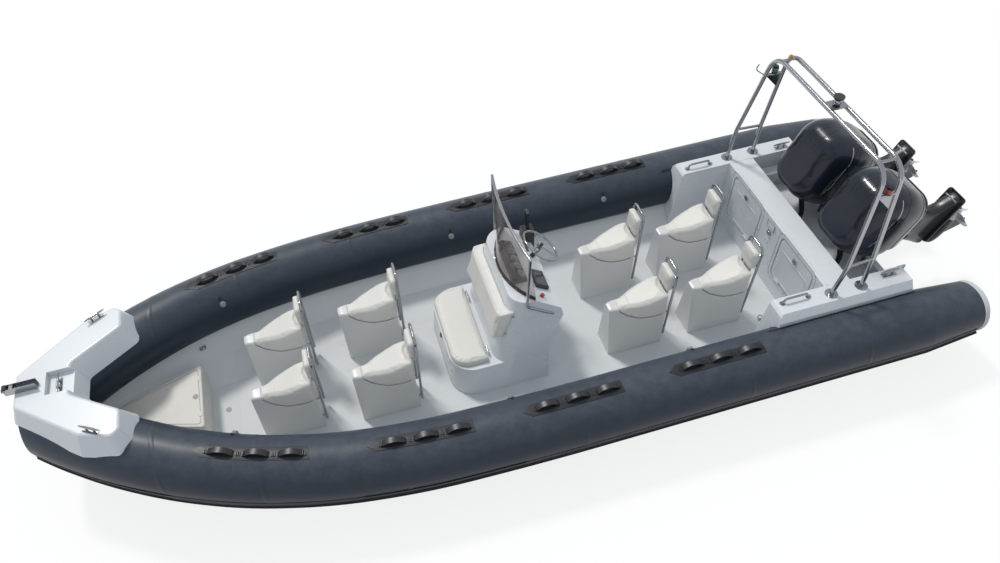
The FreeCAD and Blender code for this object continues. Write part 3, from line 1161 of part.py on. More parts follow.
def propeller():
    """Three-bladed propeller body: hub along Z, a lofted blade repeated about it, and a bore."""
    body, planes = newBody("propellerPattern")
    boss = body.newObject("PartDesign::Pad", "hub")
    boss.Profile = newSketch(body, planes["XY_Plane"], "hubOutline", [circle(d.hubRearRadius)])
    boss.setExpression("Length", "Sizes.propHubLength")
    sections = []
    # shares of the radius, the chord there, and its turn
    for reach, chord, turn in ((0.94, 0.5, 26), (0.62, 1.05, 38), (0.2, 0.5, 62)):
        blade = newSketch(body, planes["XZ_Plane"], "bladeSection", [Part.Ellipse(
            origin, d.propRadius * chord / 2, d.bladeThickness / 2)])
        blade.AttachmentOffset = FreeCAD.Placement(
            Vector(0, d.propHubLength / 2, -d.propRadius * reach), FreeCAD.Rotation(alongZ, turn))
        sections.append(blade)
    loft = body.newObject("PartDesign::AdditiveLoft", "blade")
    loft.Profile = sections[0]
    loft.Sections = sections[1:]
    spread = body.newObject("PartDesign::PolarPattern", "blades")
    spread.Originals = [loft]
    spread.Axis = (planes["Z_Axis"], [""])
    spread.Angle = whole
    spread.Occurrences = 3
    body.Tip = spread
    bore = body.newObject("PartDesign::Pocket", "driveBore")
    bore.Profile = newSketch(body, planes["XY_Plane"], "driveBoreOutline",
                             [circle(d.shaftRadius + d.runningGap)])
    bore.setExpression("Length", "3 * Sizes.propHubLength")
    bore.Midplane = True
    body.Tip = bore
    return body


def swivelBracket():
    """Tilt tube and its pin, joined by a web to the housing that the kingpin turns in."""
    tube = rod(alongY * (d.collarGap - clampInner), alongY * (clampInner - d.collarGap),
               d.tiltTubeRadius)
    pin = rod(alongY * -clampHead, alongY * clampHead, d.tiltPinRadius)
    heads = []
    for side in (-1, 1):
        heads.append(rod(alongY * (side * (clampOuter + d.collarGap)), alongY * (side * clampHead),
                         d.tiltTubeRadius * 0.8))
    housing = rod(Vector(-d.steerOffset, 0, -d.housingBottom),
                  Vector(-d.steerOffset, 0, yokeLow - d.collarGap), d.housingRadius)
    web = block(-d.steerOffset, 0, -d.swivelWeb / 2, d.swivelWeb / 2, -d.tiltTubeRadius * 2,
                d.tiltTubeRadius)
    brace = sideProfile([(0, -d.tiltTubeRadius / 2), (-d.steerOffset, -d.tiltTubeRadius),
                         (-d.steerOffset, -d.housingBottom * 0.6)], -d.swivelWeb / 4, d.swivelWeb / 4)
    bore = rod(Vector(-d.steerOffset, 0, -2 * d.housingBottom), Vector(-d.steerOffset, 0, d.cowlHeight),
               d.kingpinRadius + d.runningGap)
    return tube.multiFuse([pin, housing, web, brace] + heads).cut(bore)


def clampBracket():
    """Plate that hooks over the transom and carries one end of the tilt pin."""
    aft = d.transomX - d.seatGap - d.tiltAxisX
    fore = d.transomX + d.transomThickness + d.seatGap - d.tiltAxisX
    top = d.transomTop + d.seatGap - d.tiltAxisZ
    outline = [(-d.lugRadius, d.lugRadius * 0.7), (-d.lugRadius * 0.7, d.lugRadius),
               (d.lugRadius * 0.7, d.lugRadius), (fore + d.clampJaw, -d.lugRadius),
               (fore + d.clampJaw, top - d.clampJawDepth), (fore, top - d.clampJawDepth), (fore, top),
               (aft, top), (aft, -d.clampDepth), (-d.clampReach * 0.6, -d.clampDepth),
               (-d.clampReach, -d.clampDepth * 0.75), (-d.clampReach, -d.clampDepth / 4)]
    plate = sideProfile(outline, clampInner, clampOuter)
    return plate.cut(rod(origin, alongY * overrun, d.tiltPinRadius + d.runningGap))


tiltTurn = FreeCAD.Rotation(alongY, d.engineTilt)
cowl = engineCowl()
leg, propFace = engineLeg()
propPlace = FreeCAD.Placement(propFace - alongX * d.collarGap, FreeCAD.Rotation(alongY, -90))
propShape = shapeOf(propeller(), propPlace)
swivel = swivelBracket()


def placed(shape, side, tilted=True):
    copy = shape.copy()
    move = FreeCAD.Placement(Vector(d.tiltAxisX, side * d.engineSpacing / 2, d.tiltAxisZ),
                             tiltTurn if tilted else FreeCAD.Rotation())
    copy.Placement = move.multiply(copy.Placement)
    return copy


clamp = clampBracket()
clamps = []
for name, side in (("port", 1), ("starboard", -1)):
    keep("engine_cowl_" + name, placed(cowl, side))
    keep("engine_leg_" + name, placed(leg, side))
    keep("propeller_" + name, placed(propShape, side))
    keep("swivel_bracket_" + name, placed(swivel, side))
    clamps += [placed(clamp, side, False), placed(mirrored(clamp), side, False)]
keep("clamp_brackets", compound(clamps))

# Bow step pad with its recess, anchor roller, cleats, rails and eyes
padOutline = [(d.bowPadTip, d.bowPadTipHalf), (d.bowPadShoulderX, d.bowPadShoulderHalf),
              (d.bowPadHipX, d.bowPadHipHalf), (d.bowPadElbowX, d.bowPadArmOuter),
              (d.bowPadArmX, d.bowPadArmCorner), (d.bowPadArmX, d.bowPadArmInner),
              (d.bowPadInnerX, d.bowPadInnerHalf)]


def offsetOutline(points, distance):
    """Closed outline with each side moved outwards by distance."""
    moved = []
    for before, corner, after in zip(points[-1:] + points[:-1], points, points[1:] + points[:1]):
        into = Vector(corner[0] - before[0], corner[1] - before[1], 0).normalize()
        away = Vector(after[0] - corner[0], after[1] - corner[1], 0).normalize()
        side = (into.cross(alongZ) + away.cross(alongZ)).normalize()
        reach = distance / side.dot(into.cross(alongZ))
        moved.append((corner[0] + side.x * reach, corner[1] + side.y * reach))
    return moved


def padRing(z, flare):
    outline = offsetOutline(mirrorPoints(padOutline), flare)
    return roundedWire([Vector(x, y, z) for x, y in outline], [d.bowPadBend] * len(outline))


padRoot = d.bowPadTop - 0.75 * d.collarRadius
bowPad = Part.makeLoft([padRing(padRoot, d.bowPadFlare * 1.4), padRing(d.bowPadTop, 0)], True, True)
padEdge = [edge for edge in bowPad.Edges if edge.BoundBox.ZMin > d.bowPadTop - d.seatGap]
bowPad = bowPad.makeFillet(d.lockerSlope, padEdge)
recess = block(d.bowPadInnerX - d.bowPadFlare * 2, d.bowPadInnerX + d.recessLength, -d.recessHalf,
               d.recessHalf, d.bowPadTop - d.recessDepth, 2 * d.bowPadTop)
keep("bow_step", bowPad.cut([recess] + bothSeats))

channelHalf = d.rollerLength / 2 + d.collarGap + d.channelThickness
channelFoot = d.bowPadTop + d.seatGap
channelBack = d.rollerX - d.channelLength
channel = block(channelBack, d.rollerX + d.rollerRadius / 2, -channelHalf, channelHalf,
                channelFoot, d.rollerZ + d.channelRise)
channelRoom = block(channelBack - d.channelRise, d.rollerX + d.channelLength,
                    d.channelThickness - channelHalf, channelHalf - d.channelThickness,
                    channelFoot + d.channelThickness, 2 * d.rollerZ)
rollerRoom = block(d.rollerX - d.rollerRadius - d.channelThickness, d.rollerX + d.channelLength,
                   d.channelThickness - channelHalf, channelHalf - d.channelThickness,
                   0, 2 * d.rollerZ)
axleStart = Vector(d.rollerX, -channelHalf - d.channelThickness, d.rollerZ)
axle = rod(axleStart, axleStart + alongY * 2 * (channelHalf + d.channelThickness), d.rollerBore)
channel = channel.cut([channelRoom, rollerRoom]).fuse(axle)
keep("bow_roller_channel", channel)
rollerBody, rollerPlanes = newBody("bow_roller")
rollerPad = rollerBody.newObject("PartDesign::Pad", "rollerPad")
rollerPad.Profile = newSketch(rollerBody, rollerPlanes["XZ_Plane"], "rollerSection",
                              [circle(d.rollerRadius), circle(d.rollerBore + d.runningGap)])
rollerPad.setExpression("Length", "Sizes.rollerLength")
rollerPad.Midplane = True
rollerBody.Tip = rollerPad
rollerBody.Placement = FreeCAD.Placement(Vector(d.rollerX, 0, d.rollerZ), FreeCAD.Rotation())
pieces.append(rollerBody)


def hornCleat(name):
    """Horn cleat body: a base, two posts and a bar with tapered horns, along X."""
    body, planes = newBody(name)
    base = body.newObject("PartDesign::Pad", name + "Base")
    along, across = d.cleatPostSpacing, d.cleatBaseWidth / 2
    base.Profile = newSketch(body, planes["XY_Plane"], name + "Foot", closedLines(
        [(-along, -across), (along, -across), (along, across), (-along, across)]))
    base.setExpression("Length", "Sizes.flangeThickness")
    posts = body.newObject("PartDesign::Pad", name + "Posts")
    half = d.cleatPostSpacing / 2
    posts.Profile = newSketch(body, planes["XY_Plane"], name + "PostOutline",
                              [circle(d.cleatRadius, half), circle(d.cleatRadius, -half)])
    posts.setExpression("Length", "Sizes.cleatHeight")
    bar = body.newObject("PartDesign::Revolution", name + "Bar")
    tip, thick, high = d.cleatLength / 2, d.cleatRadius * 1.2, d.cleatHeight
    barSketch = newSketch(body, planes["XZ_Plane"], name + "BarOutline", closedLines(
        [(-tip, high), (-tip, high + thick / 2), (-half, high + thick), (half, high + thick),
         (tip, high + thick / 2), (tip, high)]))
    bar.Profile = barSketch
    bar.ReferenceAxis = (barSketch, ["Edge6"])
    bar.Angle = whole
    body.Tip = bar
    return body


def restOn(z):
    return z + d.seatGap


cleatBody = hornCleat("cleat")
recessFloor = restOn(d.bowPadTop - d.recessDepth)
cleatSpots = [(Vector(d.bowPadInnerX + d.recessLength / 2, 0, recessFloor), 90),
              (Vector(d.padCleatX, d.padCleatY, restOn(d.bowPadTop)), d.padCleatTurn),
              (Vector(d.padCleatX, -d.padCleatY, restOn(d.bowPadTop)), -d.padCleatTurn),
              (Vector(d.sternCleatX, d.sternCleatY, restOn(d.sideDeckTop)), 0),
              (Vector(d.sternCleatX, -d.sternCleatY, restOn(d.sideDeckTop)), 0)]
keep("mooring_cleats", compound(
    shapeOf(cleatBody, FreeCAD.Placement(spot, FreeCAD.Rotation(alongZ, turn)))
    for spot, turn in cleatSpots))

railLow, railHigh = restOn(d.sideDeckTop), restOn(d.sideDeckTop) + d.deckRailRise
railLine = [Vector(d.deckRailStart, d.deckRailY, railLow),
            Vector(d.deckRailStart - d.deckRailRise / 2, d.deckRailY, railHigh),
            Vector(d.deckRailEnd + d.deckRailRise / 2, d.deckRailY, railHigh),
            Vector(d.deckRailEnd, d.deckRailY, railLow)]
deckRail = roundTube(railLine, d.railRadius, 2 * d.railRadius).cut(
    block(2 * d.deckRailEnd, 0, 0, overrun * 2, 0, railLow))
railFeet = [rod(Vector(x, d.deckRailY, railLow), Vector(x, d.deckRailY, railLow + d.flangeThickness),
                d.flangeRadius) for x in (d.deckRailStart, d.deckRailEnd)]
deckRail = deckRail.multiFuse(railFeet)
keep("deck_rails", bothSides(deckRail))

aftTurn = FreeCAD.Rotation(alongZ, 180).multiply(FreeCAD.Rotation(alongX, 90))
sternEye = towEye(FreeCAD.Placement(Vector(d.transomX - d.seatGap, d.sternEyeY, d.sternEyeZ), aftTurn))
bowEye = towEye(FreeCAD.Placement(Vector(d.bowEyeX, 0, d.bowEyeZ), FreeCAD.Rotation(alongY, d.bowEyeDip)))
hullRoom = hull.copy()
hullRoom.translate(alongX * d.seatGap)
bowEye = max(bowEye.cut([hull, hullRoom]).Solids, key=lambda solid: solid.Volume)
keep("tow_eyes", compound([sternEye, mirrored(sternEye), bowEye]))

doc.recompute()
failed = [item.Label for item in doc.Objects if "Invalid" in item.State or "Error" in item.State]
failed += [piece.Label for piece in pieces if piece.Shape.isNull() or not piece.Shape.isValid()]
if failed:
    raise RuntimeError("failed: " + ", ".join(failed))
os.makedirs("parts", exist_ok=True)
for piece in pieces:
    piece.Shape.exportStep("parts/%s.step" % piece.Label)
    box = piece.Shape.BoundBox
    print("%-24s solids %2d volume %9.1f l  x %.0f..%.0f y %.0f..%.0f z %.0f..%.0f" % (
        piece.Label, len(piece.Shape.Solids), piece.Shape.Volume / 1e6, box.XMin, box.XMax,
        box.YMin, box.YMax, box.ZMin, box.ZMax))
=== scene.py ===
import bpy
import bmesh
import math
from mathutils import Matrix, Vector
from mathutils.bvhtree import BVHTree


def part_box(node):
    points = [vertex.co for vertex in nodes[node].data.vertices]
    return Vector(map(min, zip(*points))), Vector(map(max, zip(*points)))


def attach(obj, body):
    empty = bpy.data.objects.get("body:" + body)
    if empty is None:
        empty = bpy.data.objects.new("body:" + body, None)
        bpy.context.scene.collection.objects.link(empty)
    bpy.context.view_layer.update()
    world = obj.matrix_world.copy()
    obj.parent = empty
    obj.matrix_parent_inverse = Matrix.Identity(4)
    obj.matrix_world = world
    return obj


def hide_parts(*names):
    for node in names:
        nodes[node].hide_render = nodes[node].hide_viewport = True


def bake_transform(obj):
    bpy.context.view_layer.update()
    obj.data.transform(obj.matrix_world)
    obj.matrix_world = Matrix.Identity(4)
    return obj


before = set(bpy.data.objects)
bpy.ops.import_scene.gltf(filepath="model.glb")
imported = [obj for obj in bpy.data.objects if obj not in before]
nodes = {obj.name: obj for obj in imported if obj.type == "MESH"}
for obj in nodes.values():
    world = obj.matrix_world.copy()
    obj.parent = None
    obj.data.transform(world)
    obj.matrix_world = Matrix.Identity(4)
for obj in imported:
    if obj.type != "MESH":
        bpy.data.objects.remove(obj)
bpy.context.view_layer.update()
scene = bpy.context.scene
scene.view_settings.view_transform = "Standard"

# camera, as fitted to the photograph
cameraFit = {
    "place": (1.165, 4.506, 6.495), "yaw": -102.09, "pitch": 50.09, "roll": -4.86, "lens": 27.83,
    "shift": (0.0269, 0.0077), "reach": 100}


def makeCamera(fit):
    yaw, pitch, roll = (math.radians(fit[key]) for key in ("yaw", "pitch", "roll"))
    ahead = Vector((math.cos(pitch) * math.cos(yaw), math.cos(pitch) * math.sin(yaw), -math.sin(pitch)))
    level = ahead.cross(Vector((0, 0, 1))).normalized()
    upright = level.cross(ahead)
    right = math.cos(roll) * level + math.sin(roll) * upright
    up = math.cos(roll) * upright - math.sin(roll) * level
    camera = bpy.data.objects.new("camera", bpy.data.cameras.new("camera"))
    scene.collection.objects.link(camera)
    turn = Matrix((right, up, -ahead)).transposed().to_4x4()
    camera.matrix_world = Matrix.Translation(fit["place"]) @ turn
    camera.data.lens = fit["lens"]
    camera.data.shift_x, camera.data.shift_y = fit["shift"]
    camera.data.clip_end = fit["reach"]
    scene.camera = camera


makeCamera(cameraFit)
print("camera placed")

# shader groups that several finishes share


def newGroup(name, inputs, outputs):
    group = bpy.data.node_groups.new(name, "ShaderNodeTree")
    for way, sockets in (("INPUT", inputs), ("OUTPUT", outputs)):
        for label, kind in sockets.items():
            group.interface.new_socket(label, in_out=way, socket_type="NodeSocket" + kind)
    return group, group.nodes.new("NodeGroupInput"), group.nodes.new("NodeGroupOutput")


def addNode(tree, kind, inputs=None, **settings):
    node = tree.nodes.new(kind)
    for key, value in settings.items():
        setattr(node, key, value)
    for key, value in (inputs or {}).items():
        if isinstance(value, bpy.types.NodeSocket):
            tree.links.new(value, node.inputs[key])
        else:
            node.inputs[key].default_value = value
    return node


def surfacePoint(tree):
    return addNode(tree, "ShaderNodeTexCoord").outputs["Object"]


def noise(tree, point, size, detail, roughness=0.5):
    return addNode(tree, "ShaderNodeTexNoise", {"Vector": point, "Scale": size, "Detail": detail,
                                                "Roughness": roughness}).outputs["Fac"]


def worked(tree, first, second, operation="MULTIPLY"):
    return addNode(tree, "ShaderNodeMath", {0: first, 1: second}, operation=operation).outputs[0]


def mixed(tree, share, first, second):
    return addNode(tree, "ShaderNodeMix", {"Factor": share, 6: first, 7: second}, data_type="RGBA").outputs[2]


def ranged(tree, value, end, low, high):
    limits = {"Value": value, end + " Min": low, end + " Max": high}
    return addNode(tree, "ShaderNodeMapRange", limits).outputs[0]


def buildGrain():  # fine moulded or sprayed grain, as a bump normal
    inputs = dict.fromkeys(("Size", "Depth", "Broad Size", "Broad Depth"), "Float")
    group, entry, leave = newGroup("surfaceGrain", inputs, {"Normal": "Vector"})
    point = surfacePoint(group)
    fine = noise(group, point, entry.outputs["Size"], 3, 0.6)
    broad = noise(group, point, entry.outputs["Broad Size"], 2)
    first = addNode(group, "ShaderNodeBump", {"Height": broad, "Distance": 0.01,
                                              "Strength": entry.outputs["Broad Depth"]})
    second = addNode(group, "ShaderNodeBump", {"Height": fine, "Distance": 0.001,
                                               "Strength": entry.outputs["Depth"],
                                               "Normal": first.outputs["Normal"]})
    group.links.new(second.outputs["Normal"], leave.inputs["Normal"])
    return group


def buildTone():  # slow drift of colour, with wear on the edges and a colour on what faces up: dust on most finishes, and a painted highlight along the top of the tube fabric
    inputs = dict.fromkeys(("Color", "Drift Color", "Wear Color", "DustAndHighlight Color"), "Color")
    inputs.update(dict.fromkeys(("Drift", "Drift Size", "Wear", "DustAndHighlight"), "Float"))
    group, entry, leave = newGroup("agedToneAndTopHighlight", inputs, {"Color": "Color", "Mask": "Float"})
    given = entry.outputs
    point = surfacePoint(group)
    drift = noise(group, point, given["Drift Size"], 5, 0.6)
    tone = mixed(group, worked(group, drift, given["Drift"]), given["Color"], given["Drift Color"])
    geometry = addNode(group, "ShaderNodeNewGeometry")
    edge = ranged(group, geometry.outputs["Pointiness"], "From", 0.52, 0.62)
    scuffed = worked(group, edge, noise(group, point, 60, 4))
    edged = mixed(group, worked(group, scuffed, given["Wear"]), tone, given["Wear Color"])
    facing = addNode(group, "ShaderNodeSeparateXYZ", {0: geometry.outputs["Normal"]})
    # what faces up takes the dust colour: real dust on most finishes, a painted highlight on the tube fabric
    upFacing = ranged(group, facing.outputs["Z"], "From", 0.3, 1)
    dustAndHighlightMask = worked(group, upFacing, noise(group, point, 9, 6, 0.7))
    withDustAndHighlight = mixed(group, worked(group, dustAndHighlightMask, given["DustAndHighlight"]), edged, given["DustAndHighlight Color"])
    group.links.new(withDustAndHighlight, leave.inputs["Color"])
    group.links.new(drift, leave.inputs["Mask"])
    return group


grainGroup, toneGroup = buildGrain(), buildTone()


def placeGroup(tree, group, values):
    node = tree.nodes.new("ShaderNodeGroup")
    node.node_tree = group
    for key, value in values.items():
        node.inputs[key].default_value = value
    return node


def opaque(color):
    return tuple(value / 1000 for value in color[:3]) + (1,)


def newMaterial(name):
    material = bpy.data.materials.new(name)
    material.use_nodes = True
    return material, material.node_tree, material.node_tree.nodes["Principled BSDF"]


# each finish, with colours in thousandths: colour, its drift, the drift's amount and size, wear and dust as
# a colour with an amount (the tube fabric's dust is a painted highlight), the range of roughness, the grain's
# size and depth, and what else the shader takes
finishes = {
    # the tube fabric's pale blue dust colour on what faces up is a painted highlight of the sky along the
    # tube tops
    "tubeFabric": ((14, 24, 42), (10, 18, 33), (0.8, 1.3), (100, 120, 150, 0.3), (190, 215, 250, 0.42),
        (0.36, 0.48), (260, 0.35), {"broad": 1.6, "broadDepth": 0.1, "specular": 0.3, "coat": 0.12,
        "coatRoughness": 0.34}),
    "blackRubber": ((8, 9, 12), (15, 16, 20), (0.6, 6), (50, 50, 55, 0.5), (80, 80, 85, 0.2), (0.45, 0.62),
        (500, 0.5), {"specular": 0.3}),
    "loopRubber": ((6, 8, 11), (10, 12, 16), (0.6, 10), (70, 75, 85, 0.4), (50, 55, 60, 0.12), (0.3, 0.42),
        (420, 0.5), {"specular": 0.5}),
    "gelcoat": ((670, 700, 735), (610, 640, 680), (0.5, 1.6), (760, 770, 780, 0.3), (550, 540, 510, 0.1),
        (0.2, 0.36), (160, 0.04), {"broad": 2.2, "broadDepth": 0.05, "coat": 0.3, "coatRoughness": 0.12}),
    "deckGrip": ((655, 685, 715), (590, 620, 650), (0.6, 2.4), (720, 730, 740, 0.2), (500, 490, 460, 0.25),
        (0.5, 0.7), (220, 0.9)),
    "lockerCream": ((670, 655, 615), (610, 595, 555), (0.5, 3), (740, 730, 700, 0.3), (500, 480, 430, 0.2),
        (0.4, 0.6), (240, 0.7)),
    "podMoulding": ((655, 665, 665), (600, 610, 610), (0.6, 3), (750, 760, 770, 0.3),
        (520, 500, 470, 0.15), (0.26, 0.42), (200, 0.1), {"coat": 0.2, "coatRoughness": 0.2}),
    "creamVinyl": ((700, 690, 655), (640, 630, 595), (0.6, 5), (770, 765, 740, 0.3), (520, 500, 460, 0.15),
        (0.4, 0.56), (380, 0.55), {"broad": 9, "broadDepth": 0.12, "sheen": 0.08}),
    "pipingGrey": ((130, 120, 110), (180, 170, 155), (0.6, 14), (300, 290, 270, 0.5), (300, 290, 270, 0.2),
        (0.45, 0.6), (500, 0.4)),
    "seamGrey": ((300, 305, 310), (380, 385, 390), (0.6, 8), (500, 500, 500, 0.3), (420, 410, 390, 0.2),
        (0.4, 0.6), (420, 0.3)),
    "polishedSteel": ((400, 410, 430), (300, 310, 330), (0.6, 14), (600, 600, 620, 0.2),
        (280, 260, 240, 0.15), (0.1, 0.22), (700, 0.08), {"metallic": 1}),
    "cowlPaint": ((9, 14, 26), (14, 20, 34), (0.6, 2), (50, 55, 65, 0.3), (70, 75, 85, 0.15), (0.24, 0.36),
        (900, 0.08), {"coat": 0.35, "coatRoughness": 0.12, "specular": 0.25}),
    "legPaint": ((10, 12, 18), (18, 20, 26), (0.6, 5), (100, 105, 110, 0.7), (80, 80, 85, 0.2),
        (0.28, 0.46), (500, 0.3), {"coat": 0.2, "coatRoughness": 0.2, "specular": 0.4}),
    "stripeSilver": ((420, 430, 450), (340, 350, 370), (0.5, 9), (550, 550, 560, 0.4),
        (300, 300, 300, 0.1), (0.22, 0.34), (700, 0.1), {"metallic": 0.6}),
    "propPaint": ((600, 620, 640), (500, 520, 540), (0.7, 12), (720, 730, 740, 0.8), (350, 350, 340, 0.1),
        (0.28, 0.44), (600, 0.2), {"metallic": 0.25}),
    "capPlastic": ((560, 570, 580), (480, 490, 500), (0.6, 5), (650, 660, 670, 0.4), (400, 390, 370, 0.2),
        (0.42, 0.58), (420, 0.4)),
    "valveGrey": ((200, 215, 235), (260, 275, 295), (0.5, 20), (400, 410, 420, 0.5), (300, 300, 300, 0.2),
        (0.38, 0.5), (520, 0.3)),
    "blackPlastic": ((12, 12, 14), (22, 22, 25), (0.6, 12), (90, 90, 90, 0.5), (100, 100, 100, 0.15),
        (0.3, 0.46), (620, 0.4), {"specular": 0.4}),
    "dialWhite": ((720, 720, 700), (620, 620, 600), (0.4, 30), (800, 800, 800, 0.2), (500, 500, 480, 0.1),
        (0.4, 0.5), (800, 0.1)),
    "displayGlass": ((10, 18, 26), (16, 28, 38), (0.5, 12), (50, 60, 70, 0.2), (100, 100, 100, 0.2),
        (0.08, 0.16), (900, 0.02), {"coat": 0.6, "coatRoughness": 0.05}),
    "redPlastic": ((420, 18, 16), (320, 12, 12), (0.5, 18), (550, 120, 100, 0.4), (300, 120, 100, 0.15),
        (0.16, 0.3), (600, 0.1), {"coat": 0.4, "coatRoughness": 0.08}),
    "greenLens": ((14, 200, 75), (10, 150, 55), (0.5, 18), (100, 350, 200, 0.4), (100, 200, 140, 0.15),
        (0.12, 0.25), (600, 0.1), {"coat": 0.5, "coatRoughness": 0.06}),
    "amberLens": ((550, 240, 50), (420, 170, 35), (0.5, 18), (600, 350, 150, 0.4), (400, 250, 120, 0.15),
        (0.14, 0.28), (600, 0.1), {"coat": 0.4, "coatRoughness": 0.08}),
}


def makeFinish(name, color, drift, drifting, wear, dustAndHighlight, roughness, grain, extra={}):
    material, tree, shader = newMaterial(name)
    tone = placeGroup(tree, toneGroup, {
        "Color": opaque(color), "Drift Color": opaque(drift), "Drift": drifting[0], "Drift Size": drifting[1],
        "Wear Color": opaque(wear), "Wear": wear[3], "DustAndHighlight Color": opaque(dustAndHighlight), "DustAndHighlight": dustAndHighlight[3]})
    bump = placeGroup(tree, grainGroup, {
        "Size": grain[0], "Depth": grain[1], "Broad Size": extra.get("broad", 3),
        "Broad Depth": extra.get("broadDepth", 0)})
    tree.links.new(tone.outputs["Color"], shader.inputs["Base Color"])
    tree.links.new(ranged(tree, tone.outputs["Mask"], "To", *roughness), shader.inputs["Roughness"])
    tree.links.new(bump.outputs["Normal"], shader.inputs["Normal"])
    for socket, key, usual in (("Metallic", "metallic", 0), ("Coat Weight", "coat", 0),
                               ("Sheen Weight", "sheen", 0), ("Coat Roughness", "coatRoughness", 0.1),
                               ("Specular IOR Level", "specular", 0.5)):
        shader.inputs[socket].default_value = extra.get(key, usual)
    return material


finish = {name: makeFinish(name, *values) for name, values in finishes.items()}
print("finishes built")


def tintedScreen():
    material, _, shader = newMaterial("tintedAcrylic")
    for socket, value in (("Base Color", (0.76, 0.71, 0.69, 1)), ("Roughness", 0.03),
                          ("Transmission Weight", 0.94), ("IOR", 1.15)):
        shader.inputs[socket].default_value = value
    return material


finish["tintedAcrylic"] = tintedScreen()

nodeFinish = {
    "tubeFabric": ("collar_port", "collar_starboard"),
    "capPlastic": ("collar_end_caps", "inflation_valves"),
    "blackRubber": ("rubbing_strakes", "screen_seal", "bow_roller"),
    "loopRubber": ("grab_handles",),
    "gelcoat": ("hull", "side_decks", "stern_bulkhead", "hatch_port", "hatch_starboard",
        "splash_well", "transom", "console", "bow_step"),
    "deckGrip": ("cockpit_liner",),
    "lockerCream": ("bow_locker",),
    "podMoulding": ("seat_pods",),
    "creamVinyl": ("seat_cushions", "seat_backrests", "console_seat_lid", "console_bolster"),
    "polishedSteel": ("seat_frames", "screen_rail", "steering_wheel", "arch", "bow_roller_channel",
        "mooring_cleats", "deck_rails", "tow_eyes"),
    "tintedAcrylic": ("windscreen",),
    "blackPlastic": ("steering_column", "helm_instruments", "helm_controls", "arch_lamps"),
    "cowlPaint": ("engine_cowl_port", "engine_cowl_starboard"),
    "legPaint": ("engine_leg_port", "engine_leg_starboard", "swivel_bracket_port",
        "swivel_bracket_starboard", "clamp_brackets"),
    "propPaint": ("propeller_port", "propeller_starboard"),
}
for finishName, nodeNames in nodeFinish.items():
    for nodeName in nodeNames:
        nodes[nodeName].data.materials.clear()
        nodes[nodeName].data.materials.append(finish[finishName])

weldGap, sharpAngle = 0.0002, 38


def softEdges(nodeName, width):  # rounds a moulding's edges with modifiers
    shown = nodes[nodeName]
    weld = shown.modifiers.new("joinFaces", "WELD")
    weld.merge_threshold = weldGap
    bevel = shown.modifiers.new("roundEdges", "BEVEL")
    bevel.width, bevel.segments = width, 3
    bevel.limit_method, bevel.angle_limit = "ANGLE", math.radians(30)
    bevel.use_clamp_overlap = True
    bevel.harden_normals = False
    bevel.miter_outer = "MITER_ARC"


mouldedEdges = {
    "side_decks": 0.022, "console": 0.014, "splash_well": 0.012, "transom": 0.014, "hatch_port": 0.006,
    "hatch_starboard": 0.006, "seat_pods": 0.01}
for nodeName, width in mouldedEdges.items():
    softEdges(nodeName, width)
print("frame finished")

# floor, backdrop and light
stageLook = {
    "floorSize": 120, "floorRoughness": 0.9, "floorGlow": 0.82, "floorSeen": 0.95, "floorBounce": 0.32,
    "sunStrength": 1.75, "sunTurn": (30, 14, 0), "sunWidth": 8, "sunColor": (1.0, 0.975, 0.93),
    "skyStrength": 0.68, "skyColor": (0.9, 0.95, 1.0, 1)}


def makeStage(look):
    bpy.ops.mesh.primitive_plane_add(size=look["floorSize"], location=(0, 0, 0))
    floor = bpy.context.object
    floor.name = "floor"
    material, tree, shader = newMaterial("paleFloor")
    shader.inputs["Roughness"].default_value = look["floorRoughness"]
    white = addNode(tree, "ShaderNodeEmission", {"Color": (1, 1, 1, 1), "Strength": 1.0})
    path = addNode(tree, "ShaderNodeLightPath").outputs
    seen = worked(tree, path["Is Camera Ray"], path["Is Glossy Ray"], "MAXIMUM")
    seen = worked(tree, seen, path["Is Transmission Ray"], "MAXIMUM")
    tone = ranged(tree, seen, "To", look["floorBounce"], look["floorSeen"])
    tree.links.new(tone, shader.inputs["Base Color"])
    blend = addNode(tree, "ShaderNodeMixShader", {0: worked(tree, seen, look["floorGlow"]),
                                                  1: shader.outputs[0], 2: white.outputs[0]})
    tree.links.new(blend.outputs[0], tree.nodes["Material Output"].inputs["Surface"])
    floor.data.materials.append(material)
    world = bpy.data.worlds.new("softStudio")
    scene.world = world
    world.use_nodes = True
    tree = world.node_tree
    background = tree.nodes["Background"]
    path = addNode(tree, "ShaderNodeLightPath").outputs
    seen = worked(tree, path["Is Camera Ray"], path["Is Transmission Ray"], "MAXIMUM")
    tree.links.new(ranged(tree, seen, "To", look["skyStrength"], 1), background.inputs["Strength"])
    tree.links.new(mixed(tree, seen, look["skyColor"], (1, 1, 1, 1)), background.inputs["Color"])
    sun = bpy.data.objects.new("sun", bpy.data.lights.new("sun", "SUN"))
    scene.collection.objects.link(sun)
    sun.data.energy = look["sunStrength"]
    sun.data.color = look["sunColor"]
    sun.data.angle = math.radians(look["sunWidth"])
    sun.rotation_euler = [math.radians(value) for value in look["sunTurn"]]


makeStage(stageLook)
print("stage set")


def newPiece(name, data, finishName=None, body=None):
    piece = bpy.data.objects.new(name, data)
    scene.collection.objects.link(piece)
    if finishName:
        data.materials.append(finish[finishName])
    if body:
        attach(piece, body)
    return piece


def linkMesh(name, vertices, faces, finishName, body="boat"):
    mesh = bpy.data.meshes.new(name)
    mesh.from_pydata([tuple(vertex) for vertex in vertices], [], faces)
    mesh.update()
    mesh.shade_smooth()
    mesh.set_sharp_from_angle(angle=math.radians(sharpAngle))
    return newPiece(name, mesh, finishName, body)


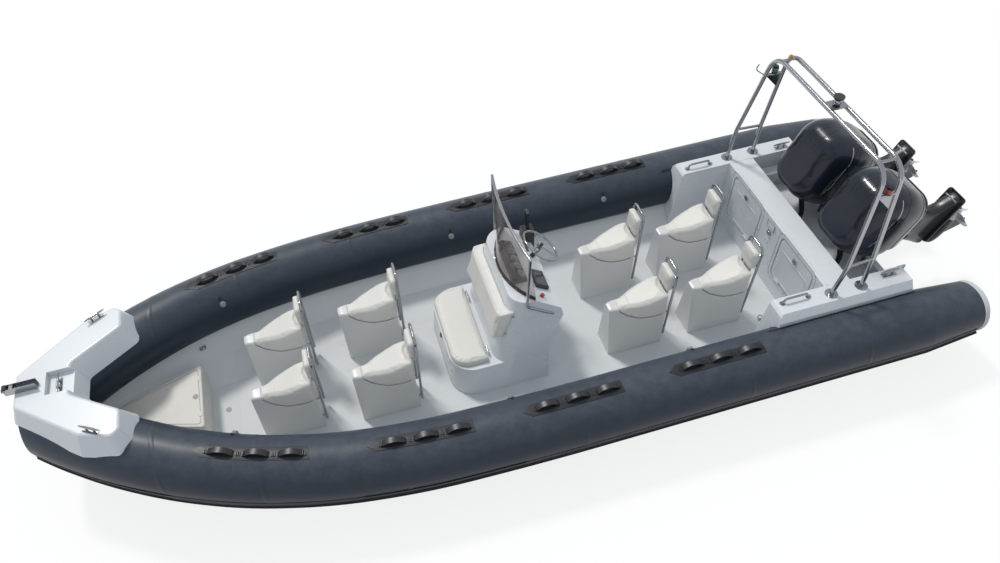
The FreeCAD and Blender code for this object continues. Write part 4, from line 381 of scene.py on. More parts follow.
def tubeRun(name, points, radius, finishName, body="boat", closed=False, steps=8):  # a bent bar or piping
    curve = bpy.data.curves.new(name, "CURVE")
    curve.dimensions = "3D"
    curve.bevel_depth, curve.bevel_resolution, curve.resolution_u = radius, 2 if steps < 4 else 4, steps
    curve.use_fill_caps = True
    spline = curve.splines.new("NURBS")
    spline.points.add(len(points) - 1)
    for target, point in zip(spline.points, points):
        target.co = (point[0], point[1], point[2], 1)
    spline.order_u = 3
    spline.use_endpoint_u = not closed
    spline.use_cyclic_u = closed
    return newPiece(name, curve, finishName, body)


def nodeTree(nodeName):
    mesh = bmesh.new()
    mesh.from_mesh(nodes[nodeName].data)
    tree = BVHTree.FromBMesh(mesh)
    mesh.free()
    return tree


flanks = (("port", 1), ("starboard", -1))
down, aft, upward, outward = (0, 0, -1), (-1, 0, 0), Vector((0, 0, 1)), Vector((0, 1, 0))


def onSurface(tree, start, towards):  # where a ray meets a surface, and the way that faces back
    towards = Vector(towards).normalized()
    spot, normal, _, _ = tree.ray_cast(Vector(start), towards)
    if spot is None:
        return None
    return spot, normal if normal.dot(towards) < 0 else -normal


def hitsOn(tree, starts, towards):
    found = [onSurface(tree, start, towards(start) if callable(towards) else towards) for start in starts]
    return [hit for hit in found if hit]


def uprightAt(hit):  # a plate's place on a surface: its centre, across and up
    up = (upward - hit[1] * hit[1].z).normalized()
    return hit[0], up.cross(hit[1]), up


def surfaceBand(name, tree, starts, towards, half, proud, finishName, body="boat"):
    # a flat band laid on a surface: starts are cast along a direction and the hits joined
    hits = hitsOn(tree, starts, towards)
    vertices, faces = [], []
    profile = ((-1, 0.0), (-0.85, 1.0), (0.85, 1.0), (1, 0.0))
    for k, (spot, normal) in enumerate(hits):
        ahead = (hits[min(k + 1, len(hits) - 1)][0] - hits[max(k - 1, 0)][0]).normalized()
        side = ahead.cross(normal).normalized()
        for across, rise in profile:
            vertices.append(spot + side * (half * across) + normal * (proud * rise))
        if k:
            low = 4 * (k - 1)
            faces += [(low + j, low + j + 1, low + j + 5, low + j + 4) for j in range(3)]
    return linkMesh(name, vertices, faces, finishName, body)


def laidRun(name, tree, starts, towards, radius, finishName, body="boat", closed=False):
    # a thin line laid on a surface
    return tubeRun(name, [spot for spot, away in hitsOn(tree, starts, towards)], radius, finishName, body,
                   closed=closed, steps=2)


def evenly(first, last, count):
    return [first + (last - first) * k / count for k in range(count + 1)]


def unitCircle(count, start=0):
    angles = [math.radians(start) + 2 * math.pi * k / count for k in range(count)]
    return [(math.cos(angle), math.sin(angle)) for angle in angles]


def ringFaces(base, rings, count):  # the skin over a stack of rings, with both ends closed
    faces = []
    for ring in range(rings - 1):
        for k in range(count):
            low, beside = base + ring * count + k, base + ring * count + (k + 1) % count
            faces.append((low, beside, beside + count, low + count))
    faces.append(tuple(base + k for k in reversed(range(count))))
    faces.append(tuple(base + (rings - 1) * count + k for k in range(count)))
    return faces


def turned(name, places, profile, finishName, body="boat", sides=28):
    # an outline of radius and height pairs in millimetres, turned about an axis at each place
    vertices, faces = [], []
    for spot, away in places:
        turn = upward.rotation_difference(Vector(away)).to_matrix()
        faces += ringFaces(len(vertices), len(profile), sides)
        for radius, height in profile:
            radius, height = radius / 1000, height / 1000
            vertices += [Vector(spot) + turn @ Vector((radius * x, radius * y, height))
                         for x, y in unitCircle(sides)]
    return linkMesh(name, vertices, faces, finishName, body)


def roundedOutline(width, height, corner, steps=5):
    points = []
    for across, up, start in ((1, 1, 0), (-1, 1, 90), (-1, -1, 180), (1, -1, 270)):
        for k in range(steps + 1):
            angle = math.radians(start + 90 * k / steps)
            points.append((across * (width / 2 - corner) + corner * math.cos(angle),
                           up * (height / 2 - corner) + corner * math.sin(angle)))
    return points


def plates(name, places, width, height, corner, thickness, finishName, body="boat"):
    # rounded plates with a softened front edge, each place a centre with its across and up directions
    vertices, faces = [], []
    edge = min(thickness, 0.004) * 0.6
    levels = ((0, 0), (0, thickness - edge), (edge, thickness))
    for centre, across, up in places:
        across, up = Vector(across).normalized(), Vector(up).normalized()
        out = across.cross(up)
        base = len(vertices)
        for inset, lift in levels:
            ring = roundedOutline(width - 2 * inset, height - 2 * inset, corner - inset)
            vertices += [Vector(centre) + across * x + up * y + out * lift for x, y in ring]
        faces += ringFaces(base, len(levels), (len(vertices) - base) // len(levels))
    return linkMesh(name, vertices, faces, finishName, body)


def outlineRun(name, centre, width, height, corner, radius, finishName, body="boat"):
    points = [Vector(centre) + Vector((0, x, y)) for x, y in roundedOutline(width, height, corner)]
    return tubeRun(name, points, radius, finishName, body, closed=True, steps=2)


def boltHeads(name, spots, radius, height, finishName="polishedSteel", body="boat", sides=6):
    # domed washers with hexagon heads, one mesh for a whole row
    mesh = bmesh.new()
    for spot, away in spots:
        turn = upward.rotation_difference(Vector(away)).to_matrix().to_4x4()
        place = Matrix.Translation(spot) @ turn
        bmesh.ops.create_cone(mesh, cap_ends=True, segments=16, radius1=radius * 1.6, radius2=radius * 1.45,
                              depth=height * 0.4, matrix=place @ Matrix.Translation((0, 0, height * 0.2)))
        bmesh.ops.create_cone(mesh, cap_ends=True, segments=sides, radius1=radius, radius2=radius * 0.9,
                              depth=height * 0.6, matrix=place @ Matrix.Translation((0, 0, height * 0.7)))
    data = bpy.data.meshes.new(name)
    mesh.to_mesh(data)
    mesh.free()
    return newPiece(name, data, finishName, body)


def takeSolid(nodeName, low, high, label):  # copies what of a node's mesh lies inside a box
    mesh = bmesh.new()
    mesh.from_mesh(nodes[nodeName].data)
    outside = [vertex for vertex in mesh.verts
               if any(vertex.co[k] < low[k] or vertex.co[k] > high[k] for k in range(3))]
    bmesh.ops.delete(mesh, geom=outside, context="VERTS")
    bmesh.ops.remove_doubles(mesh, verts=mesh.verts, dist=weldGap)
    copy = bpy.data.meshes.new(label)
    mesh.to_mesh(copy)
    mesh.free()
    return newPiece(label, copy)


def applyAll(piece):
    shaped = bpy.data.meshes.new_from_object(piece.evaluated_get(bpy.context.evaluated_depsgraph_get()))
    piece.modifiers.clear()
    piece.data = shaped
    return piece


def remeshed(piece, voxel):
    remesh = piece.modifiers.new("voxels", "REMESH")
    remesh.mode, remesh.voxel_size = "VOXEL", voxel
    applyAll(piece)
    smooth = piece.modifiers.new("relax", "SMOOTH")
    smooth.factor, smooth.iterations = 0.5, 6
    return applyAll(piece)


def puffed(piece, pressure, cap, pinned=None, frames=18):  # swells a pad with Blender's own cloth
    start = [vertex.co.copy() for vertex in piece.data.vertices]
    if pinned:
        group = piece.vertex_groups.new(name="held")
        group.add([k for k, spot in enumerate(start) if pinned(piece.data.vertices[k])], 1.0, "REPLACE")
    cloth = piece.modifiers.new("cloth", "CLOTH")
    settings = cloth.settings
    settings.use_pressure = True
    settings.uniform_pressure_force = pressure
    settings.effector_weights.gravity = 0
    settings.quality = 4
    settings.tension_stiffness = settings.compression_stiffness = 12
    settings.bending_stiffness = 4
    if pinned:
        settings.vertex_group_mass = "held"
    cloth.point_cache.frame_start, cloth.point_cache.frame_end = 1, frames
    for step in range(1, frames + 1):
        scene.frame_set(step)
    applyAll(piece)
    scene.frame_set(1)
    for vertex, spot in zip(piece.data.vertices, start):
        move = vertex.co - spot
        if move.length > cap:
            vertex.co = spot + move.normalized() * cap
    piece.vertex_groups.clear()
    return piece


def sewn(piece, seams, lift=0.0022, width=0.0035, dip=0.0030):  # raised piping with a dip each side
    mesh = piece.data
    for vertex in mesh.vertices:
        move = 0.0
        for along in seams:
            gap = abs(along(vertex.co))
            if gap < 6 * width:
                move += lift * math.exp(-(gap / width) ** 2)
                move -= dip * math.exp(-((gap - 2.2 * width) / width) ** 2)
        if move:
            vertex.co += vertex.normal * move
    mesh.update()


def paddedVinyl(piece):
    piece.data.materials.clear()
    piece.data.materials.append(finish["creamVinyl"])
    piece.data.shade_smooth()
    return piece


seatRows = [(-1.854, 0.378), (-1.0, 0.378), (1.472, 0.378), (2.381, 0.317)]
seatPlaces = [(x, side * y) for x, y in seatRows for side in (1, -1)]
seatPad = {
    "voxel": 0.007, "pressure": 2.5, "swell": 0.01, "seamBack": 0.2, "seamHeight": 0.935, "fill": 0.8,
    "lidSeam": 0.15, "lidHinges": (-0.35, 0.35), "barrel": ((7, 0), (8, 1), (8, 22), (7, 23), (7, 24),
    (8, 25), (8, 45), (7, 46), (7, 47), (8, 48), (8, 69), (7, 70))}
modelSeat = 2  # the seat that is dressed, and then copied to the other places
firstX, firstY = seatPlaces[modelSeat]


def copyOverSeats(piece, label):
    copies = []
    for k, (x, y) in enumerate(seatPlaces):
        if k != modelSeat:
            copy = newPiece("%s%d" % (label, k), piece.data)
            copy.location = (x - firstX, y - firstY, 0)
            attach(copy, "boat")
            copies.append(copy)
    return copies


def spreadOverSeats(piece, label, nodeName):  # one padded shape, set on each of the eight seats
    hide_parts(nodeName)
    for copy in copyOverSeats(piece, label):
        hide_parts(nodeName)
    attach(piece, "boat")


def makeSeatPad(look, nodeName, label, low, high, pinned, seam):
    offset = Vector((firstX, firstY, 0))
    piece = takeSolid(nodeName, offset + Vector(low), offset + Vector(high), label)
    remeshed(piece, look["voxel"])
    puffed(piece, look["pressure"], look["swell"], pinned)
    sewn(piece, [seam])
    spreadOverSeats(paddedVinyl(piece), label, nodeName)


def makeConsolePads(look):
    lid = takeSolid("console_seat_lid", (0.198, -0.6, 0.4), (0.6, 0.6, 0.6), "frontSeatPad")
    bolster = takeSolid("console_bolster", (-0.4, -0.6, 0.7), (0.4, 0.6, 1.2), "frontBackPad")
    for piece, body, held in ((lid, "console_seat_lid", lambda vertex: vertex.normal.z < -0.5),
                              (bolster, "boat", lambda vertex: vertex.normal.x < -0.3)):
        remeshed(piece, look["voxel"] * 1.3)
        puffed(piece, look["pressure"], look["swell"], held)
        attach(paddedVinyl(piece), body)
    sewn(bolster, [lambda spot: spot.y - look["lidSeam"], lambda spot: spot.y + look["lidSeam"]])
    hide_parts("console_bolster")
    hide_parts("console_seat_lid")
    hinges = [((0.192, y - 0.035, 0.509), outward) for y in look["lidHinges"]]
    turned("lidHingeBarrels", hinges, look["barrel"], "polishedSteel", "console_seat_lid", sides=16)


makeSeatPad(seatPad, "seat_cushions", "seatCushion", (-0.6, -0.25, 0.3), (0.05, 0.25, 1.1),
            lambda vertex: vertex.normal.z < -0.35, lambda spot: spot.x - (firstX - seatPad["seamBack"]))
makeSeatPad(seatPad, "seat_backrests", "seatBackrest", (-0.65, -0.25, 0.6), (-0.4, 0.25, 1.2),
            lambda vertex: vertex.normal.x < -0.7, lambda spot: spot.z - seatPad["seamHeight"])
makeConsolePads(seatPad)
print("pads swollen and sewn")

tubeRadius = 0.291


def collarCentre(x):
    share = max(0.0, x + 0.402) / 4.625
    rise = min(1.0, max(0.0, (x + 0.856) / 5.101))
    return 1.293 - 1.300 * share ** 3.3047, 0.511 + 0.255 * math.sin(rise * math.pi / 2) ** 5


def besideTube(x, side, angle, away=0.5):  # a point outside the tube, at an angle about its centre line
    y, z = collarCentre(x)
    turn = math.radians(angle)
    return Vector((x, side * (y + away * math.cos(turn)), z + away * math.sin(turn)))


def alongTube(start, end, count, side, angle):
    return [besideTube(x, side, angle) for x in evenly(start, end, count)]


def intoTube(side):
    def aim(start):
        y, z = collarCentre(start.x)
        return (Vector((start.x, side * y, z)) - start).normalized()
    return aim


bandLook = {
    "seams": (-3.05, -1.9, -0.35, 1.2, 2.35, 3.15), "seam": (0.022, 0.0012), "seamFrom": -20,
    "seamTo": 218, "tape": (0.03, 0.002), "tapeEnds": (-2.2, 3.55), "tapeAngle": 205,
    "wearAndShadeAngles": (-24, -4), "wearAndShadeProud": 0.0022, "wearAndShadeEnds": (-4.22, 4.215), "gasket": (0.016, 0.003),
    "gasketEnds": (-2.24, -3.72), "gasketOut": 1.139}


def makeBands(look):  # tube seams, the taped joint, the wear strip under the strake (partly a rubber strip, partly painted shade on the tube's lower side) and the stern's gasket
    low, high = look["wearAndShadeAngles"]
    half = math.radians(high - low) * tubeRadius / 2
    for name, side in flanks:
        tree, aim = nodeTree("collar_" + name), intoTube(side)
        for k, x in enumerate(look["seams"]):
            starts = [besideTube(x, side, angle) for angle in evenly(look["seamFrom"], look["seamTo"], 60)]
            surfaceBand("tubeSeam_%s_%d" % (name, k), tree, starts, aim, *look["seam"], "tubeFabric")
        starts = alongTube(*look["tapeEnds"], 120, side, look["tapeAngle"])
        surfaceBand("innerTape_" + name, tree, starts, aim, *look["tape"], "tubeFabric")
        # a black band that is partly a rubber wear strip and partly painted shade on the tube's lower outer
        # side
        starts = alongTube(*look["wearAndShadeEnds"], 150, side, (low + high) / 2)
        surfaceBand("wearStripAndShade_" + name, tree, starts, aim, half, look["wearAndShadeProud"], "blackRubber")
        starts = [(x, side * look["gasketOut"], 1.2) for x in evenly(*look["gasketEnds"], 40)]
        surfaceBand("deckGasket_" + name, tree, starts, down, *look["gasket"], "blackRubber")


makeBands(bandLook)
print("tube details laid on")

# valves and handle blocks on the collar
valveLook = {
    "places": ((-1.538, 1.033, 0.659), (0.163, 1.03, 0.661), (2.52, 0.748, 0.792)), "cap": ((31, 0),
    (31, 5), (27, 8), (25, 8), (24, 19), (21, 23), (12, 24), (4, 22)), "ring": ((37, -4), (38, 2), (34, 4),
    (31, 4)), "strapRise": 0.052}


def makeValves(look):
    for name, side in flanks:
        tree = nodeTree("collar_" + name)
        places, straps = [], []
        for x, y, z in look["places"]:
            middleY, middleZ = collarCentre(x)
            inward = (Vector((x, side * middleY, middleZ)) - Vector((x, side * y, z))).normalized()
            spot, away = onSurface(tree, Vector((x, side * y, z)) - inward * 0.1, inward)
            places.append((spot, away))
            spot, across, up = uprightAt((spot, away))
            straps.append((spot + up * look["strapRise"], across, up))
        rings = turned("valveRings_" + name, places, look["ring"], "blackRubber")
        caps = turned("valveCaps_" + name, places, look["cap"], "valveGrey")
        plates("valveStraps_" + name, straps, 0.024, 0.050, 0.008, 0.005, "blackRubber")
        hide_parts("inflation_valves")


makeValves(valveLook)

stripLook = {
    "fores": (2.835, 1.463, 0.139, -1.193), "length": 0.9, "tip": 0.08, "shift": 0.028,
    "ribs": (-0.013, 0, 0.013), "rib": 0.009, "blockWide": 0.04}


def makeStripBlocks(look):  # ribbed rubber blocks between the loops of each hand hold
    tree = nodeTree("grab_handles")
    pitch = (look["length"] - look["tip"]) / 3
    for name, side in flanks:
        places = []
        for fore in look["fores"]:
            for k in range(4):
                x = fore - look["tip"] - pitch * k + look["shift"] * (-1 if k == 0 else 1 if k == 3 else 0)
                for rib in look["ribs"]:
                    y, z = collarCentre(x + rib)
                    hit = onSurface(tree, (x + rib, side * y, z + 2 * tubeRadius), down)
                    if hit is None or hit[0].z > z + 0.315:  # a loop, not the pad
                        continue
                    ahead, _ = collarCentre(x + 0.05)
                    along = Vector((0.05, side * (ahead - y), 0)).normalized()
                    places.append((hit[0] - upward * 0.001, along, upward.cross(along)))
        plates("handleRibs_" + name, places, look["rib"], look["blockWide"], 0.003, 0.008, "loopRubber")


makeStripBlocks(stripLook)
print("collar fittings made")

# seats: piping under each cushion and the sealed foot of each pod
seatTrim = {
    "saddle": ((0.17, 0.965), (0.3, 0.86), (0.55, 0.785), (0.8, 0.775), (0.97, 0.785)), "length": 0.551,
    "height": 0.602, "piping": 0.0032, "foot": 0.0035, "footHeight": 0.106, "outside": 0.4}


def makeSeatTrim(look):
    tree = nodeTree("seat_pods")
    shares = look["saddle"]
    spots = []
    for (x0, z0), (x1, z1) in zip(shares, shares[1:]):
        spots += [(x0 + (x1 - x0) * k / 4, z0 + (z1 - z0) * k / 4) for k in range(4)]
    for name, side in (("Left", 1), ("Right", -1)):
        starts = [(firstX - look["length"] * x, firstY + side * 0.3, 0.096 + look["height"] * z)
                  for x, z in spots]
        run = laidRun("seatPiping" + name, tree, starts, (0, -side, 0), look["piping"], "pipingGrey")
        copyOverSeats(run, "seatPiping" + name)
    half, reach = look["length"] / 2, look["outside"]
    centre = Vector((firstX - half, firstY, look["footHeight"]))
    along = [look["length"] * k / 12 * 0.98 for k in range(13)]
    foot = [(Vector((half - step - 0.004, reach, 0)), -outward) for step in along]
    foot += [(Vector((-reach, 0.14 - 0.07 * k, 0)), -Vector(aft)) for k in range(5)]
    foot += [(Vector((step - half + 0.006, -reach, 0)), outward) for step in along]
    points = [hit[0] for hit in (onSurface(tree, centre + start, towards) for start, towards in foot) if hit]
    sealed = tubeRun("podFootSeal", points, look["foot"], "seamGrey", closed=True, steps=2)
    copyOverSeats(sealed, "podFootSeal")


makeSeatTrim(seatTrim)
print("seat trim made")

# stern bulkhead: hatch rims, screws, latches and the round filler
bulkheadLook = {
    "from": -2.4, "hatchY": 0.472, "hatchZ": 0.575, "rim": (0.556, 0.546, 0.064),
    "frame": (0.64, 0.63, 0.085), "press": (0.44, 0.36, 0.05), "pressZ": 0.54, "latchZ": 0.763,
    "screw": 0.0045, "screws": ((-0.298, -0.293), (0, -0.295), (0.298, -0.293), (-0.3, 0), (0.3, 0),
    (-0.298, 0.293), (0, 0.295), (0.298, 0.293)), "latch": ((30, 0), (30, 3), (26, 5), (22, 3), (9, 3),
    (9, 8), (4, 10)), "filler": ((34, 0), (34, 4), (29, 7), (26, 13), (17, 15), (6, 13)), "fillerZ": 0.7,
    "wallSpot": (0.09, 0.45), "vent": (0.122, 0.086, 0.012), "ventZ": 0.804}


def makeBulkheadBits(look):
    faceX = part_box("hatch_port")[1][0]
    bulkhead = nodeTree("stern_bulkhead")
    wallX = onSurface(bulkhead, (look["from"],) + look["wallSpot"], aft)[0].x
    for name, side in flanks:
        hatchY, hatchZ = side * look["hatchY"], look["hatchZ"]
        centre = (wallX + 0.0005, hatchY, hatchZ)
        outlineRun("hatchRim_" + name, centre, *look["rim"], 0.0035, "seamGrey")
        outlineRun("hatchFrame_" + name, centre, *look["frame"], 0.0018, "seamGrey")
        starts = [(look["from"], hatchY + across, hatchZ + up) for across, up in look["screws"]]
        boltHeads("hatchScrews_" + name, hitsOn(bulkhead, starts, aft), look["screw"], 0.0035, sides=12)
        turned("hatchLatch_" + name, [((faceX + 0.004, hatchY, look["latchZ"]), (1, 0, 0))], look["latch"],
               "polishedSteel", "hatch_" + name)
        outlineRun("hatchPress_" + name, (faceX + 0.0003, hatchY, look["pressZ"]), *look["press"], 0.0022,
                   "gelcoat", "hatch_" + name)
    turned("fillerCap", [onSurface(bulkhead, (look["from"], 0, look["fillerZ"]), aft)], look["filler"],
           "polishedSteel")
    ventX = onSurface(bulkhead, (look["from"], 0, look["ventZ"]), aft)[0].x
    outlineRun("ventRim", (ventX + 0.001, 0, look["ventZ"]), *look["vent"], 0.003, "seamGrey")


makeBulkheadBits(bulkheadLook)
print("bulkhead fittings made")

# console: sealed foot, latch, screen bolts, bolster studs, stop switch, dials and display
consoleLook = {
    "foot": (0.06, 0, 0.107), "footRadius": 0.004, "screenBolts": 9, "boltHalf": 0.42, "boltZ": 1.219,
    "bolt": 0.006, "stud": 0.008, "latchZ": 0.42, "latch": (0.045, 0.07, 0.01, 0.006),
    "lever": (0.022, 0.056, 0.009, 0.007), "dials": (0.094, 0.188, -0.094, 0, -0.188), "dialX": -0.207,
    "dialZ": 1.2645, "dialProud": 0.008, "tickRing": 0.027, "dialRim": ((41, -2), (41, 3), (38, 4),
    (36, 1), (35, 0.8)), "dialFace": ((35, 0), (35, 1), (1, 1.2)), "tick": (0.009, 0.002, 0.0009, 0.0012),
    "needle": (0.03, 0.0022, 0.001, 0.0012)}


def makeConsoleBits(look):
    tree = nodeTree("console")
    centre = Vector(look["foot"])
    starts = [centre + Vector((1.5 * x, 1.5 * y, 0)) for x, y in unitCircle(72)]
    laidRun("consoleFootSeal", tree, starts, lambda start: centre - start, look["footRadius"], "seamGrey",
            closed=True)
    half = look["boltHalf"]
    starts = [(0.6, y, look["boltZ"]) for y in evenly(-half, half, look["screenBolts"] - 1)]
    boltHeads("screenBolts", hitsOn(nodeTree("screen_seal"), starts, aft), look["bolt"], 0.005, sides=12)
    low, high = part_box("console_bolster")
    studs = []
    bolster = nodeTree("console_bolster")
    for side in (1, -1):
        for z in (low[2] + 0.05, high[2] - 0.05):
            for x in (low[0] + 0.03, (low[0] + high[0]) / 2):
                hit = onSurface(bolster, (x, side * 0.8, z), (0, -side, 0))
                if hit and abs(hit[0].y) > half:
                    studs.append((hit[0] + hit[1] * 0.006, hit[1]))
                    break
    boltHeads("bolsterStuds", studs, look["stud"], 0.006, sides=12)
    spot, across, up = uprightAt(onSurface(tree, (1.2, 0, look["latchZ"]), aft))
    plates("seatLatch", [(spot, across, up)], *look["latch"], "polishedSteel")
    plates("seatLatchLever", [(spot + across.cross(up) * look["latch"][3], across, up)], *look["lever"],
           "blackPlastic")
    away = Vector((-1, 0, 2)).normalized()
    rise = away.cross(outward)
    rims, ticks, needles = [], [], []
    for y in look["dials"]:
        face = Vector((look["dialX"], y, look["dialZ"])) + away * look["dialProud"]
        rims.append((face, away))
        for k in range(11):
            turn = math.radians(-30 + 24 * k)
            way = outward * math.cos(turn) + rise * math.sin(turn)
            ticks.append((face + way * look["tickRing"] + away * 0.0012, way, away.cross(way)))
        way = outward * 0.5 + rise * 0.85
        needles.append((face + way.normalized() * 0.009 + away * 0.0018, way, away.cross(way)))
    turned("dialRims", rims, look["dialRim"], "polishedSteel", sides=32)
    turned("dialFaces", rims, look["dialFace"], "displayGlass", sides=32)
    plates("dialTicks", ticks, *look["tick"], "dialWhite")
    plates("dialNeedles", needles, *look["needle"], "redPlastic")


makeConsoleBits(consoleLook)

displayLook = {
    "middle": (-0.368, 0.19, 1.115), "dashSlope": (-0.17, 0, 0.236), "bezel": (0.196, 0.128, 0.012, 0.004),
    "pane": (0.156, 0.108, 0.004, 0.0012), "paneShift": 0.012, "keyAcross": 0.082, "keyPitch": 0.018,
    "key": (0.014, 0.01, 0.003, 0.003), "switchAt": (-0.33, 0.4, 1.4), "lockAt": (-0.4, -0.27, 1.4),
    "switch": ((20, 0), (20, 6), (13, 8), (13, 16), (20, 18), (20, 26), (15, 29), (4, 29)),
    "lock": ((19, 0), (19, 4), (15, 7), (11, 7), (11, 4), (3, 4)), "rockerFrom": -0.31,
    "rockerPitch": 0.034, "rocker": (0.02, 0.034, 0.004, 0.008)}


def makeDisplay(look):  # glass, bezel and keys on the display unit, with a stop switch beside it
    away = Vector(look["dashSlope"]).normalized()  # the dash faces aft and up
    hit = onSurface(nodeTree("helm_instruments"), Vector(look["middle"]) + away * 0.3, -away)
    spot, across, up = uprightAt(hit)
    face = spot + hit[1] * look["bezel"][3]
    plates("displayBezel", [(spot, across, up)], *look["bezel"], "blackPlastic")
    plates("displayPane", [(face - across * look["paneShift"], across, up)], *look["pane"], "displayGlass")
    keys = [(face + across * look["keyAcross"] + up * look["keyPitch"] * k, across, up)
            for k in (2, 1, 0, -1, -2)]
    plates("displayKeys", keys, *look["key"], "pipingGrey")
    dash = nodeTree("console")
    turned("stopSwitch", [onSurface(dash, look["switchAt"], down)], look["switch"], "redPlastic")
    turned("ignitionLock", [onSurface(dash, look["lockAt"], down)], look["lock"], "polishedSteel")
    x, _, z = look["lockAt"]
    rockers = [onSurface(dash, (x, look["rockerFrom"] + look["rockerPitch"] * k, z), down) for k in range(4)]
    plates("rockerSwitches", [uprightAt(hit) for hit in rockers], *look["rocker"], "blackPlastic")


makeDisplay(displayLook)
print("helm finished")

# arch: flange bolts, lamp lenses, top beacon and flag hook
archLook = {
    "feet": ((-2.913, 1.0), (-3.217, 1.0)), "boltRing": 0.043, "bolt": 0.007, "above": 0.93,
    "lampY": 0.896, "lamp": (-3.129, 1.982), "mast": (-3.144, 0, 2.216), "beaconAt": (-3.145, -0.75, 2.5),
    "lens": ((30.8, 0), (32.5, 5), (32.5, 34), (30.8, 40)), "mastLens": ((30.8, 14), (33.5, 18),
    (33.5, 46), (30.8, 52)), "beacon": ((22, 0), (24, 3), (24, 6), (20, 8), (18, 26), (12, 34), (3, 37)),
    "hook": ((-3.02, -0.905, 1.96), (-3.0, -0.94, 1.965), (-2.975, -0.965, 1.98), (-2.972, -0.968, 2.02),
    (-2.985, -0.96, 2.045)), "hookRadius": 0.006}


def makeArchBits(look):
    tree = nodeTree("arch")
    spots = []
    for side in (1, -1):
        for x, y in look["feet"]:
            starts = [(x + look["boltRing"] * ahead, side * y + look["boltRing"] * across, look["above"])
                      for ahead, across in unitCircle(4, 45)]
            spots += [(spot, upward) for spot, away in hitsOn(tree, starts, down) if spot.z > 0.87]
    boltHeads("archBolts", spots, look["bolt"], 0.006)
    lampX, lampZ = look["lamp"]
    for name, side, finishName in (("portLens", 1, "redPlastic"), ("starboardLens", -1, "greenLens")):
        turned(name, [((lampX, side * look["lampY"], lampZ), upward)], look["lens"], finishName)
    turned("mastLens", [(look["mast"], upward)], look["mastLens"], "polishedSteel")
    top = onSurface(tree, look["beaconAt"], down)
    turned("topBeacon", [(top[0], upward)], look["beacon"], "amberLens")
    tubeRun("flagHook", look["hook"], look["hookRadius"], "polishedSteel")


makeArchBits(archLook)
print("arch finished")

# outboard engines: seams, stripe, air slots, creases, anodes and rigging hoses, in each engine's own frame
engineLook = {
    "pivot": (-3.75, 0.715), "tilt": 66, "spacing": 0.384, "middle": -0.318, "seams": (0.055, 0.285),
    "seamRadius": 0.0035, "stripeZ": 0.355, "stripeEnds": (-0.66, -0.14), "stripeHalf": 0.0055,
    "slot": ((-0.25, 0.212), (-0.31, 0.19), (-0.38, 0.174), (-0.46, 0.17), (-0.54, 0.182)),
    "slotHalf": 0.017, "creases": (0.036, 0.08), "creaseEnds": (-0.47, -0.7), "creaseBow": 0.012,
    "creaseRadius": 0.0032, "stripeBow": 0.03, "above": 1.1, "anodeAt": (-0.6, 0.04, -0.45),
    "anode": (0.016, 0.15, 0.004, 0.01), "inletEnds": (-0.16, -0.264), "inletZ": -0.8,
    "inlet": (0.01, 0.05, 0.004, 0.0035)}


def engineWay(x, y, z):
    turn = math.radians(engineLook["tilt"])
    return Vector((x * math.cos(turn) + z * math.sin(turn), y, -x * math.sin(turn) + z * math.cos(turn)))


def engineSpot(x, y, z, side):
    pivotX, pivotZ = engineLook["pivot"]
    return Vector((pivotX, side * engineLook["spacing"], pivotZ)) + engineWay(x, y, z)


def makeEngineBits(look):
    deckward = engineWay(*down)
    for name, side in flanks:
        body = "engine_" + name
        cowl, leg = nodeTree("engine_cowl_" + name), nodeTree("engine_leg_" + name)
        for k, z in enumerate(look["seams"]):
            centre = engineSpot(look["middle"], 0, z, side)
            starts = [centre + engineWay(1.2 * x, 1.2 * y, 0) for x, y in unitCircle(64)]
            laidRun("cowlSeam%d_%s" % (k, name), cowl, starts, lambda start: centre - start,
                    look["seamRadius"], "blackRubber", body, closed=True)
        for flank, label in ((1, "Left"), (-1, "Right")):
            starts = []
            for k, x in enumerate(evenly(*look["stripeEnds"], 28)):
                z = look["stripeZ"] + look["stripeBow"] * (k / 14 - 1) ** 2
                starts.append(engineSpot(x, flank * 0.7, z, side))
            surfaceBand("cowlStripe%s_%s" % (label, name), cowl, starts, engineWay(0, -flank, 0),
                        look["stripeHalf"], 0.0012, "stripeSilver", body)
            starts = []
            for (x0, y0), (x1, y1) in zip(look["slot"], look["slot"][1:]):
                run = list(zip(evenly(x0, x1, 5), evenly(y0, y1, 5)))[:5]
                starts += [engineSpot(x, flank * y, look["above"], side) for x, y in run]
            surfaceBand("airSlot%s_%s" % (label, name), cowl, starts, deckward, look["slotHalf"], 0.0016,
                        "blackRubber", body)
            for k, y in enumerate(look["creases"]):
                starts = [engineSpot(x, flank * (y + look["creaseBow"] * math.sin(math.pi * j / 16)),
                                     look["above"], side)
                          for j, x in enumerate(evenly(*look["creaseEnds"], 16))]
                laidRun("cowlCrease%d%s_%s" % (k, label, name), cowl, starts, deckward, look["creaseRadius"],
                        "cowlPaint", body)
        x, y, z = look["anodeAt"]
        tail = onSurface(leg, engineSpot(x, y, z, side), deckward)
        plates("plateAnode_" + name, [(tail[0] - engineWay(0, y, 0), engineWay(1, 0, 0), engineWay(0, 1, 0))],
               *look["anode"], "stripeSilver", body)
        grille = []
        for flank in (1, -1):
            starts = [engineSpot(x, flank * 0.4, look["inletZ"], side) for x in evenly(*look["inletEnds"], 4)]
            for spot, away in hitsOn(leg, starts, engineWay(0, -flank, 0)):
                along = engineWay(1, 0, 0)
                along = (along - away * along.dot(away)).normalized()
                grille.append((spot - away * 0.0005, along, away.cross(along)))
        plates("waterInlet_" + name, grille, *look["inlet"], "blackPlastic", body)


makeEngineBits(engineLook)

